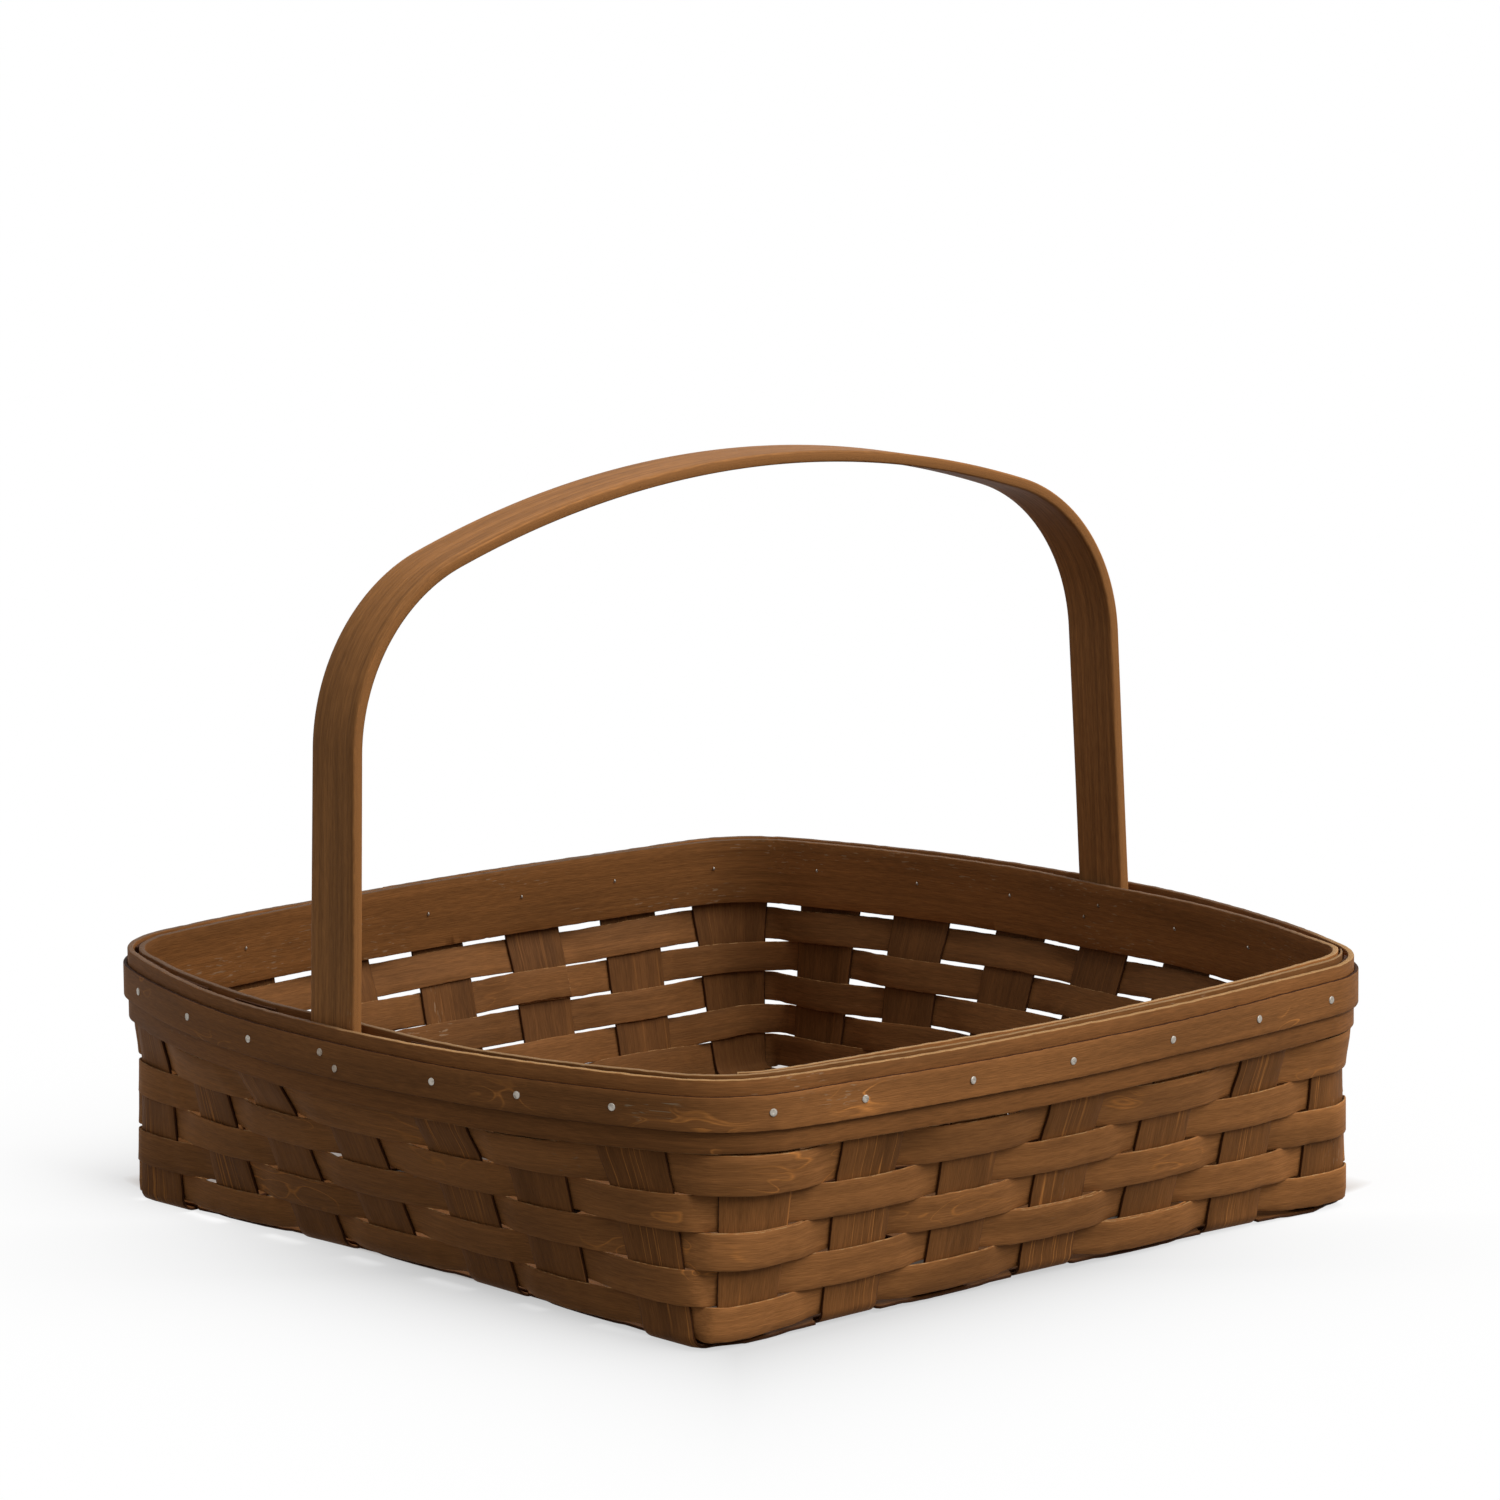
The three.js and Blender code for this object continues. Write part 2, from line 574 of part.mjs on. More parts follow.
// Handle: a crown arc, two shoulders and two legs that run down between the rim bands.
function halfHandle(lean) {
  const crownCentre = HANDLE_TOP - CROWN_RADIUS;
  const reach = CROWN_RADIUS - SHOULDER_RADIUS;
  const legDistance = LEG_OUTER * Math.cos(lean) + (RIM_TOP - crownCentre) * Math.sin(lean);
  const crownTurn = Math.asin((legDistance - SHOULDER_RADIUS) / reach) - lean;
  const shoulder = new THREE.Vector2(reach * Math.sin(crownTurn), crownCentre + reach * Math.cos(crownTurn));
  const spots = [];
  const arc = (centre, radius, from, to, steps) => {
    for (let i = 0; i <= steps; i++) {
      const turn = THREE.MathUtils.lerp(from, to, i / steps);
      const normal = new THREE.Vector2(Math.sin(turn), Math.cos(turn));
      spots.push({ place: normal.clone().multiplyScalar(radius).add(centre), normal });
    }
  };
  arc(new THREE.Vector2(0, crownCentre), CROWN_RADIUS, 0, crownTurn, CROWN_STEPS);
  spots.pop();
  arc(shoulder, SHOULDER_RADIUS, crownTurn, Math.PI / 2 - lean, SHOULDER_STEPS);
  const upright = new THREE.Vector2(1, 0);
  const atRim = new THREE.Vector2(Math.cos(lean / 2), Math.sin(lean / 2));
  spots.push({ place: new THREE.Vector2(LEG_OUTER, RIM_TOP), normal: atRim });
  spots.push({ place: new THREE.Vector2(LEG_OUTER, RIM_BOTTOM + LEG_END_GAP), normal: upright });
  return spots;
}

function handlePath() {
  const left = halfHandle(LEFT_LEG_LEAN).slice(1).toReversed().map(({ place, normal }) => ({
    place: new THREE.Vector2(-place.x, place.y),
    normal: new THREE.Vector2(-normal.x, normal.y),
  }));
  return [...left, ...halfHandle(RIGHT_LEG_LEAN)];
}

function handleSolid() {
  const wide = HANDLE_WIDTH / 2;
  const flat = wide - HANDLE_EASE;
  const deep = HANDLE_THICKNESS;
  const section = [
    [-wide, deep - HANDLE_EASE], [-flat, deep], [flat, deep], [wide, deep - HANDLE_EASE],
    [wide, HANDLE_EASE], [flat, 0], [-flat, 0], [-wide, HANDLE_EASE],
  ];
  return sweptSolid(handlePath().map(({ place, normal }) => section.map(([y, depth]) => new THREE.Vector3(
    place.x - normal.x * depth,
    y,
    place.y - normal.y * depth,
  ))));
}

const legTacks = tacks.filter(({ side, a }) => side % 2 === 1 && Math.abs(a) < STAKE_PITCH / 2);
addPiece('handle', drilled(handleSolid(), legTacks), FINISHES.handle);

export default basket;
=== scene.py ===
"""Looks of the pie basket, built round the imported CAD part. Metres, in the CAD's frame."""

import math
from collections import namedtuple

import bpy
import numpy as np
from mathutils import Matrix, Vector


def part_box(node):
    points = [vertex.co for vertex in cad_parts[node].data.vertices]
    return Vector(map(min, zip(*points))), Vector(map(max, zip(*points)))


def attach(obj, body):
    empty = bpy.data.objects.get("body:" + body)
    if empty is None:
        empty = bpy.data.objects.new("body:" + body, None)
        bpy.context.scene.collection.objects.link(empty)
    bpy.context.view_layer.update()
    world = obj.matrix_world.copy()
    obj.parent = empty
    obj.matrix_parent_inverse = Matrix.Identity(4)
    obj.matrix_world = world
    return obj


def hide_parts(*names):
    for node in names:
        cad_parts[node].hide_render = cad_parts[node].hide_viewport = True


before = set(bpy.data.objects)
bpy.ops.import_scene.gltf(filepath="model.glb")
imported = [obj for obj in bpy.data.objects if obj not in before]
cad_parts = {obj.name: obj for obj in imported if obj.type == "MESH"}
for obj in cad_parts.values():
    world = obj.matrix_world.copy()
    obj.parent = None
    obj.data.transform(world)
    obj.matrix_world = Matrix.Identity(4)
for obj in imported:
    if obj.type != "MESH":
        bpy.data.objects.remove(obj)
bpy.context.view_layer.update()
scene = bpy.context.scene

# Camera at the photo's view
CAMERA_PLACE = (-1.508412, -1.698487, 0.537269)
CAMERA_TURN = (80.17475, 0.53211, -41.81718)  # degrees
CAMERA_LENS = 178.019
CAMERA_SENSOR = 36

# Light
KEY_FROM = (0.25, -0.5, 0.75)  # direction that the key light comes from
KEY_STRENGTH = 2.94
KEY_ANGLE = math.radians(60)
AMBIENT = 0.26
FLOOR_SIZE = 8
FLOOR_WHITE = (1, 1, 1, 1)
FLOOR_UNDER = 0.5  # grey of the floor under the basket, as it lights the basket
FLOOR_BOUNCE = 0.15  # and beside it
FLOOR_THROUGH = 0.15  # painted shadow under and just beside the basket: how much of its paleness the floor keeps where it is seen through the basket
# painted warm tint of the shadow near and under the basket
PAINTED_SHADOW_TINT = (1, 0.82, 0.68, 1)
UNDER_BASKET = (0.118, 0.118, 1)  # half of the floor that the basket hides
SHADOW_RUN = 0.009  # run beside it in which the painted shadow fades and the floor becomes pale
SHADOW_SIDE = 5  # how many times as far that runs on the two far sides
CAST_RUN = 0.004  # the floor, as the camera sees it, shows less of the cast shadow further out
SHADE = 0.27  # painted soft shade on the floor before the near corner and both near sides
SHADE_TURN = (0, 0, math.radians(42))
SHADE_FROM = 0.19
SHADE_RUN = 0.047
SHADE_ENDS = (-0.02, -0.09)  # where it sets in, towards the camera, at the left and right corners

# Body
BASE_SIZE = 0.270
BASE_CORNER = 0.005
HANDLE_SIDE_BEND = 0.007
FREE_SIDE_BEND = 0.005
CORNER_BEND = 0.0035
HANDLE_SIDE_LIFT = 0.002
FREE_SIDE_LIFT = 0.0008
FLOOR_LEVEL = 0.0014
RIM_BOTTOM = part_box("outer_rim_band")[0][2]
RIM_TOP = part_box("outer_rim_band")[1][2]
SLOPE_STEP = 0.00005

# Stakes
STAKES = 7
STAKES_ROUND = 4 * STAKES
STAKE_WIDTH = 0.022
STAKE_THICKNESS = 0.00095
STAKE_PITCH = 0.2366 / 6
STAKE_SET_DOWN = 0.001
END_STAKE = STAKE_PITCH * (STAKES - 1) / 2
MIDDLE_STAKE = (STAKES - 1) // 2
HALF_STAKE = STAKE_WIDTH / 2 / STAKE_PITCH  # in pitches
FLOOR_WAVE = 0.0007
FOOT_RUN = 0.006  # height in which a stake leaves the floor's wave
END_STRIP_OUT = 0.0008  # how far the outermost floor strips come out between stakes
FRONT_STRIP_OUT = 0.0032  # and the one along the front
END_STRIP_RUN = 0.012
END_STRIP_RISE = 0.035  # in pitches, beside a stake that it passes over
LOW_EDGE = 0.4  # how low the edge of such a strip is between stakes, as a share of the floor's wave
LOW_EDGE_RISE = 0.9  # and how much it rises at a stake
BEND_TURN = math.radians(70)
BEND_STATIONS = 9
FOOT_GRAIN = 0.004  # run of the grain between the floor and the bend
STAKE_COLUMNS = 7
STAKE_STEP = 0.002
STAKE_EASE = 0.0004
STAKE_UNEVEN = (0.0003, 0.11, 0.23)  # waves in a stake's width: size, lengths
STAKE_SWAY = (0.0004, 0.19, 0.31)  # and in its place
SPLINT_FRAY = 0.00006

# Weavers
ROWS = 5
WEAVER_WIDTHS = (0.0111, 0.0101, 0.0107)  # front, far sides, left
WEAVER_TILT = 0.0004  # between stakes the lower edge stands out, over the row below
WEAVER_THICKNESS = 0.00075
ROW_PITCH = 0.011
LOWEST_ROW = 0.0078  # middle of row 5
WALL_WAVE = 0.00092
WALL_CRESTS = (0.3, 0.9)  # how much further a row stands out over the middle of a stake
CREST_PLACES = (1.5, 3)  # in stakes from the middle of a side
FLOOR_CREST = 0.2
SPLICES = (27, 16, 27, 2, 3)  # stake at which each row starts
# Stakes at the ends of the two far sides: the last before, the first, the last, the first after
FAR_SIDES = (STAKES - 1, STAKES, 3 * STAKES - 1, 3 * STAKES)
LAPPED_STAKES = 3
LAP_LIFT = 0.00085
TOP_ROW_EXTRA = (0.0007, 0.0003)  # half of what the top row is wider by: near sides, far sides
LOWEST_ROW_EXTRA = (-0.00045, 0.00045)  # and the lowest row
LOWEST_ROW_RISE = 0.00045
LAP_END = 0.25  # from the middle of a stake to the end of a row, in pitches
WEAVER_COLUMNS = 5
WEAVER_STEP = 0.04  # in pitches
WEAVER_EASE = 0.0003
WEAVER_UNEVEN = (0.00008, 0.07, 0.16)  # waves in a row's width: size, lengths
WEAVER_DRIFT = (0.0001, 0.14, 0.37)  # and in its height
FAR_DRIFT = (0.0005, 0.075, 0.11)  # and more of that on the far sides

# Rim
BAND_THICKNESS = 0.0019
INNER_BAND_FACE = -0.001
INNER_BAND_PHASES = (-0.16, 0.3, 5.8, 6.4, 7.4, 26.8, 27.6, 28.2, 33.8, 34.4)  # lapped along the front
INNER_BAND_OUTER = (-0.0032, -0.0032, -0.0032, -0.002, *6 * [INNER_BAND_FACE])
INNER_BAND_INNER = (-0.0042, -0.0048, -0.0048, -0.0039, *3 * [-0.0029], -0.0026, -0.0026, -0.0014)
INNER_BAND_DROPS = (-0.0003, -0.0003, -0.0003, 0.0002, 0.0008, 0.0008, 0.0003, 0, 0, 0)
FLARE = 0.0016  # how far the stakes turn out into the rim
HANDLE_SIDE_FLARE = 0.001  # and how much further beside the handle
FLARE_RUN = 0.014
LEG_ROOM = 0.03  # stretch beside the middle of a side in which the handle's leg spreads the rim
SCARF_TIP = 0.0004
SCARF_GAP = 0.00015
BAND_STEP = 0.03  # in pitches
OUTER_BAND_LAP = 17  # stake at which it is lapped
TRIM_LAP = 9
TRIM_FACE = 0.0014
TRIM_THICKNESS = 0.0013
RIM_COLUMNS = 7
RIM_EASE = 0.0003
RIM_FRAY = 0.00005
RIM_UNEVEN = (0.0002, 0.09, 0.21)  # waves in a band's width: size, lengths
RIM_DRIFT = (0.0002, 0.17, 0.41)  # and in its height

# Handle
HANDLE_WIDTH = 0.020
HANDLE_THICKNESS = 0.0036
HANDLE_EASE = 0.0006
LEG_LEANS = [math.radians(1.7), math.radians(3)]  # left, right
CROWN_RADIUS = 0.376
SHOULDER_RADIUS = 0.060
LEG_OUTER = 0.1619
LEG_END_GAP = 0.001
HANDLE_COLUMNS = 9
HANDLE_STEP = 0.002
HANDLE_UNEVEN = (0.0002, 0.2, 0.37)  # waves in its width: size, lengths
HANDLE_SWAY = (0.0003, 0.4, 0.65)  # and in its place
RIM_TURN = 0.006  # run, each way, in which a leg turns upright at the rim

# Tacks
TACK_LINE = 0.0712
TACK_SEAT = 0.00138
TACK_TILT = (0.07, 0.07, 0.042)
HANDLE_TACK_SHIFT = 0.0034
HANDLE_TACK_STEP = 0.002
TACK_SHIFTS = {  # how far a tack sits from the middle of its stake
    "front": (-0.0004, -0.0088, -0.0087, -0.0088, -0.0059, -0.0056, -0.009),
    "right": (0, 0, 0, 0, 0, 0, 0),
    "back": (0, 0, 0, 0, 0, 0, 0),
    "left": (0.0024, 0.0038, 0.0028, 0.0039, 0.0088, 0.0007, -0.0075),
}
TACK_SIDES = 14
TACK_HEAD = (  # height over the trim, radius
    (0.0002, 0.00012), (0.00034, 0.00045), (0.00034, 0.0008), (0.00028, 0.00106),
    (0.00016, 0.0012), (0, 0.00118), (-0.00004, 0.0005),
)
TACK_POINT = (  # depth past the inner face, rise, radius, how far it is turned up
    (0, 0, 0.0004, 0), (0.0003, 0.0001, 0.00036, 0.5), (0.0004, 0.0005, 0.0003, 1),
    (0.0003, 0.0009, 0.00015, 1),
)

# How far each stake stands from its even place, under the rim and at its foot
TOP_SHIFTS = np.array([
    [0, -0.0026, -0.003, -0.003, 0.0005, 0.001, 0.001],
    [0, -0.001, -0.002, -0.003, -0.004, -0.0015, -0.006],
    [-0.003, -0.0058, -0.0058, -0.0058, -0.005, -0.004, 0],
    [0, -0.003, -0.0034, -0.0034, 0.0036, -0.0034, -0.006],
])
FOOT_SHIFTS = np.array([
    [-0.0015, 0.001, 0.001, 0.0015, 0.0015, 0.003, 0.003],
    [-0.003, -0.003, -0.004, -0.005, -0.006, -0.006, -0.005],
    [-0.003, -0.0014, -0.0014, -0.0014, -0.0014, -0.001, 0.002],
    [-0.002, 0.0015, 0.001, -0.0005, 0.0036, -0.0015, 0.003],
])

ALONG = np.array([[1, 0], [0, 1], [-1, 0], [0, -1]])
OUTWARD = np.array([[0, -1], [1, 0], [0, 1], [-1, 0]])

Form = namedtuple("Form", "half_x half_y bow_x bow_y corner")
WALL = Form(0.1573, 0.1538, 0.0189, 0.008, 0.0318)
RIM = Form(0.1655, 0.158, 0.0229, 0.008, 0.036)
# A place on a side, or a share of the corner after it and how far the stakes beside it are shifted
Spot = namedtuple("Spot", "side a share before after", defaults=(0, 0))

rng = np.random.default_rng(7)


def smooth(x):
    x = np.clip(x, 0, 1)
    return x * x * (3 - 2 * x)


def wobble(t, size, *lengths):
    """Smooth seeded unevenness along a strip, at most size."""
    waves = [np.sin(2 * np.pi * (t / length + rng.random())) for length in lengths]
    return size * sum(waves) / len(lengths)


# Walls: the same surfaces as the CAD part's
def height_share(z):
    """0 at the floor, 1 at the rim."""
    return np.clip((z - FLOOR_LEVEL) / (RIM_BOTTOM - FLOOR_LEVEL), 0, 1)


def wall_profile(base, rim, bend, z):
    """How far out a wall is at height z: a bend from the floor, then a straight slope."""
    rise = RIM_BOTTOM - FLOOR_LEVEL
    slope = (rim - base) / rise
    lean = math.atan(slope)
    height = np.clip(z - FLOOR_LEVEL, 0, rise)
    start = base - bend * math.tan((math.pi / 2 - lean) / 2)
    turn = start + np.sqrt(bend ** 2 - (bend - np.minimum(height, bend)) ** 2)
    return np.where(height >= bend * (1 - math.sin(lean)), base + slope * height, turn)


def outlines(form, z):
    """Free side and handle side at height z: middle, curvature, corner radius and corner centre."""
    radius = BASE_CORNER + (form.corner - BASE_CORNER) * height_share(z)
    centre_x = wall_profile(BASE_SIZE / 2, form.half_x - form.bow_x, CORNER_BEND, z) - radius
    centre_y = wall_profile(BASE_SIZE / 2, form.half_y - form.bow_y, CORNER_BEND, z) - radius

    def side(half, bend, along, out):
        middle = wall_profile(BASE_SIZE / 2, half, bend, z)
        bow = middle - out - radius
        curvature = 2 * bow / (along ** 2 + bow ** 2 + 2 * bow * radius)
        return middle, curvature, radius, along, out

    return (
        side(form.half_y, FREE_SIDE_BEND, centre_x, centre_y),
        side(form.half_x, HANDLE_SIDE_BEND, centre_y, centre_x),
    )


def beside_stake(line, a):
    """How far out a side is at a along it, and the sine and cosine of its turn there."""
    middle, curvature, radius, along, out = line
    on_side = np.abs(a) <= along / (1 - radius * curvature)
    sine = np.where(on_side, curvature * a, np.sign(a) * (np.abs(a) - along) / radius)
    cosine = np.sqrt(np.maximum(1 - sine ** 2, 0))
    place = np.where(on_side, middle - curvature * a * a / (1 + cosine), out + radius * cosine)
    return place, sine, cosine


def plan(form, spot, z):
    """Plan position and outward normal of a spot at height z."""
    lines = outlines(form, z)
    even = spot.side % 2 == 0
    own = [np.where(even, front, right) for front, right in zip(*lines)]
    other = [np.where(even, right, front) for front, right in zip(*lines)]

    def turn_at(line, shift):
        _, curvature, radius, along, _ = line
        edge = np.maximum(END_STAKE + STAKE_WIDTH / 2 + shift, along / (1 - radius * curvature))
        return np.arcsin(np.clip(beside_stake(line, edge)[1], -1, 1))

    first = turn_at(own, spot.before)
    turn = first + (np.pi / 2 - turn_at(other, -spot.after) - first) * spot.share
    in_corner = spot.share > 0
    out, sine, cosine = beside_stake(own, spot.a)
    sine = np.where(in_corner, np.sin(turn), sine)
    cosine = np.where(in_corner, np.cos(turn), cosine)
    radius, centre_along, centre_out = own[2:]
    along = np.where(in_corner, centre_along + radius * sine, spot.a)
    out = np.where(in_corner, centre_out + radius * cosine, out)

    def in_plan(along, out):
        return along[..., None] * ALONG[spot.side] + out[..., None] * OUTWARD[spot.side]

    return in_plan(along, out), in_plan(sine, cosine)


def surface_normal(form, spot, z):
    here, normal = plan(form, spot, z)
    above, _ = plan(form, spot, z + SLOPE_STEP)
    slope = ((above - here) * normal).sum(-1) / SLOPE_STEP
    normal = np.concatenate([normal, -slope[..., None]], -1)
    return normal / np.linalg.norm(normal, axis=-1, keepdims=True)


def on_surface(form, spot, z, offset):
    here, _ = plan(form, spot, z)
    point = np.concatenate([here, z[..., None]], -1)
    return point + surface_normal(form, spot, z) * np.asarray(offset)[..., None]


def flare(spot, z):
    """The tacks pull stakes and inner band out to the outer band, except where the handle is between."""
    a = np.abs(spot.a)
    beside_handle = (spot.side % 2 == 1) & (spot.share == 0)
    more = HANDLE_SIDE_FLARE * smooth((END_STAKE - a) / LEG_ROOM)
    pulled = np.where(beside_handle, (FLARE + more) * (1 - np.exp(-(a / LEG_ROOM) ** 2)), FLARE)
    return pulled * smooth((z - RIM_BOTTOM + FLARE_RUN) / FLARE_RUN)


def lifted(points):
    """The floor is arched, and the walls take that up on their way to the level rim."""
    flat = END_STAKE - STAKE_WIDTH / 2
    x, y, z = np.moveaxis(points, -1, 0)
    lift = HANDLE_SIDE_LIFT * np.maximum(0, 1 - (y / flat) ** 2)
    lift = lift + FREE_SIDE_LIFT * np.maximum(0, 1 - (x / flat) ** 2)
    return np.stack([x, y, z + lift * (1 - height_share(z))], -1)


def stake_shift(side, number, z):
    share = height_share(z)
    return FOOT_SHIFTS[side, number] * (1 - share) + TOP_SHIFTS[side, number] * share


def spot_round(phase, z):
    """Spot at a place round the basket, counted in stakes from the front left one, at height z."""
    count = np.floor(phase + HALF_STAKE).astype(int)
    past = phase - count
    number = count % STAKES
    between = np.clip((past - HALF_STAKE) / (1 - 2 * HALF_STAKE), 0, 1)
    before, after = (
        stake_shift(stake // STAKES % 4, stake % STAKES, z) for stake in (count, count + 1)
    )
    a = (number - MIDDLE_STAKE + past) * STAKE_PITCH + before + (after - before) * between
    return Spot(count // STAKES % 4, a, np.where(number == STAKES - 1, between, 0), before, after)


def over(x, crest):
    """Share of a strip's wave at x pitches from a crossing."""
    x = np.abs(x)
    fall = np.cos(np.pi / 2 * np.clip((x - HALF_STAKE) / (0.5 - HALF_STAKE), 0, 1))
    return fall * (1 + crest * (1 - np.minimum(x / HALF_STAKE, 1) ** 2))


# Strips: closed meshes swept along a run of stations
MOST_EASE = 0.9  # most of half a strip's thickness that its edges' rounding takes
SHARP_TURN = math.radians(60)


class Section:
    """Ring round a strip's section: outer face, upper edge, inner face, lower edge."""

    def __init__(self, columns):
        face = np.linspace(-1, 1, columns)
        turns = np.radians([45, 90, 90, 45])
        half = len(turns) // 2
        level = np.array([1] * half + [-1] * half)
        zero = np.zeros(columns)
        one = np.ones(columns)
        four = np.ones(len(turns))
        self.across = np.concatenate([face, four, face[::-1], -four])
        self.turned = np.concatenate([zero, np.sin(turns), zero, -np.sin(turns)])
        self.kept = np.concatenate([one, np.cos(turns), one, np.cos(turns)])
        self.depth = np.concatenate([one, level, -one, -level])
        self.edge = np.concatenate([zero, four, zero, four])
        self.upper = np.concatenate([zero, four, zero, 0 * four])

    def spread(self, half_width, half_depth, ease):
        """Across and depth of every point of the ring, at every station."""
        half_width, half_depth = (np.atleast_1d(v)[:, None] for v in (half_width, half_depth))
        ease = np.minimum(ease, MOST_EASE * half_depth)
        across = self.across * (half_width - ease) + self.turned * ease
        depth = self.depth * (half_depth - ease * (1 - self.kept))
        return np.broadcast_arrays(across, depth)


def add_mesh(name, points, grain, edge):
    """A closed tube through rings of points, with the attributes that its material reads."""
    rings, ring_size = points.shape[:2]
    index = np.arange(rings * ring_size).reshape(rings, ring_size)
    nearer, farther = index[:-1], index[1:]
    quads = np.stack(
        [nearer, np.roll(nearer, -1, 1), np.roll(farther, -1, 1), farther], -1
    ).reshape(-1, 4)
    faces = quads.tolist() + [index[0][::-1].tolist(), index[-1].tolist()]
    corners = points.reshape(-1, 3)
    a, b, c, d = (corners[quads[:, i]] for i in range(4))
    volume = (np.cross(a, b) * c).sum() + (np.cross(a, c) * d).sum()
    if volume < 0:
        faces = [face[::-1] for face in faces]
    mesh = bpy.data.meshes.new(name)
    mesh.from_pydata(corners.tolist(), [], faces)
    mesh.attributes.new("grain", "FLOAT_VECTOR", "POINT").data.foreach_set("vector", grain.ravel())
    mesh.attributes.new("edge", "FLOAT", "POINT").data.foreach_set("value", edge.ravel())
    mesh.shade_smooth()
    mesh.set_sharp_from_angle(angle=SHARP_TURN)
    piece = bpy.data.objects.new(name, mesh)
    scene.collection.objects.link(piece)
    return piece


FACE_SHIFT = 0.07  # sets the grain of a strip's two faces apart
STRIP_SHIFT = 0.37  # and that of one strip from the next
STRIPS = [f"stake_along_{axis}_{number + 1}" for number in range(STAKES) for axis in "yx"]
STRIPS += [f"weaver_row_{row}" for row in range(1, ROWS + 1)]
STRIPS += ["inner_rim_band", "outer_rim_band", "rim_trim_strip", "handle"]


def add_strip(name, section, points, along, across):
    grain = np.stack([
        np.broadcast_to(along[:, None], across.shape),
        across + FACE_SHIFT * section.depth,
        np.full(across.shape, STRIP_SHIFT * STRIPS.index(name)),
    ], -1)
    edge = np.broadcast_to(section.edge, across.shape).copy()
    edge[[0, -1]] = 1
    return add_mesh("visual_" + name, points, grain, edge)


def finish_piece(piece, material, node):
    piece.data.materials.append(material)
    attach(piece, "root")
    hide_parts(node)


def frayed(section, across, size):
    """Uneven edges, as splints have them."""
    rough = rng.normal(size=(len(across), 2)) * size
    rough[1:-1] = (rough[:-2] + 2 * rough[1:-1] + rough[2:]) / 3
    lower = section.edge * (1 - section.upper)
    return across + rough[:, :1] * section.upper + rough[:, 1:] * lower


# Materials
def node(tree, kind, inputs=(), **settings):
    made = tree.nodes.new("ShaderNode" + kind)
    for key, value in settings.items():
        setattr(made, key, value)
    for socket, value in dict(inputs).items():
        if isinstance(value, bpy.types.NodeSocket):
            tree.links.new(value, made.inputs[socket])
        else:
            made.inputs[socket].default_value = value
    return made


def noise(tree, place, scale, detail=2, distortion=0):
    spread = node(tree, "Mapping", {"Vector": place, "Scale": scale}).outputs[0]
    settings = {"Vector": spread, "Scale": 1, "Detail": detail, "Distortion": distortion}
    return node(tree, "TexNoise", settings).outputs["Fac"]


def ranged(tree, value, low, high, to_low=0, to_high=1):
    settings = {"Value": value, "From Min": low, "From Max": high, "To Min": to_low, "To Max": to_high}
    return node(tree, "MapRange", settings).outputs[0]


def maths(tree, operation, a, b=0):
    return node(tree, "Math", {0: a, 1: b}, operation=operation).outputs[0]


def vector_maths(tree, operation, a, b):
    second = "Scale" if operation == "SCALE" else 1
    return node(tree, "VectorMath", {0: a, second: b}, operation=operation).outputs[0]


def length(tree, vector):
    return node(tree, "VectorMath", {0: vector}, operation="LENGTH").outputs["Value"]


def mixed(tree, factor, a, b, blend="MIX"):
    made = node(tree, "Mix", {0: factor, 6: a, 7: b}, data_type="RGBA", blend_type=blend)
    return made.outputs[2]


def multiplied(tree, colour, by):
    return mixed(tree, 1, colour, by, "MULTIPLY")


def ramp(tree, value, *stops):
    made = node(tree, "ValToRGB", {0: value})
    elements = made.color_ramp.elements
    while len(elements) < len(stops):
        elements.new(0.5)
    for element, (place, colour) in zip(elements, stops):
        element.position = place
        element.color = (*colour, 1)
    return made.outputs[0]


def new_material(name):
    material = bpy.data.materials.new(name)
    material.use_nodes = True
    tree = material.node_tree
    tree.nodes.clear()
    shader = node(tree, "BsdfPrincipled")
    node(tree, "OutputMaterial", {"Surface": shader.outputs[0]})
    return material, tree, shader


FULL_REACH = 0.4  # share of its reach in which a patch is full


def near_place(tree, grain, strip, phase, across, along_reach, across_reach):
    """1 at a place on the outer face of a strip, 0 beyond its reach."""
    place = (phase * STAKE_PITCH, across + FACE_SHIFT, STRIP_SHIFT * STRIPS.index(strip))
    shares = (1 / along_reach, 1 / across_reach, 1 / STRIP_SHIFT)
    away = vector_maths(tree, "SUBTRACT", grain, place)
    away = length(tree, vector_maths(tree, "MULTIPLY", away, shares))
    return ranged(tree, away, FULL_REACH, 1, 1, 0)


RAW = (0.44, 0.245, 0.1)
DULL_RAW = (0.36, 0.205, 0.09)
# edges partly soaked dark with stain and partly painted shade of edges that face away from the light
SOAKED_AND_SHADED = (0.05, 0.016, 0.004)
# tone of the rim bands' edges away from the near corner, darker than the raw edges there
FAR_EDGE_TONE = (0.15, 0.08, 0.042)
FIGURE = (0.6, 0.235, 0.06)
SCUFFED = (0.36, 0.24, 0.14)
STRAIGHT_LINES = ((4, 260, 9), 1, 0.02)  # scale, lines for each swell, width
FLAMES = ((45, 130, 9), 5, 0.09)
BARE_MIDDLE = 29.75  # place round the rim, in stakes, in the middle of the stretch with raw edges
BARE_ENDS = (0.26, 0.46)  # cosine of the turn from there at which they end

# Scales of the grain's noises: along a strip, across it, from strip to strip
MOTTLES = (14, 90, 9)
PATCHES = (11, 34, 5)
DASHES = (260, 1300, 7)
SCUFFS = (16, 60, 4)
CHAFES = (420, 1500, 6)
FIBRES = (220, 3000, 9)
STREAKS = (14, 700, 9)

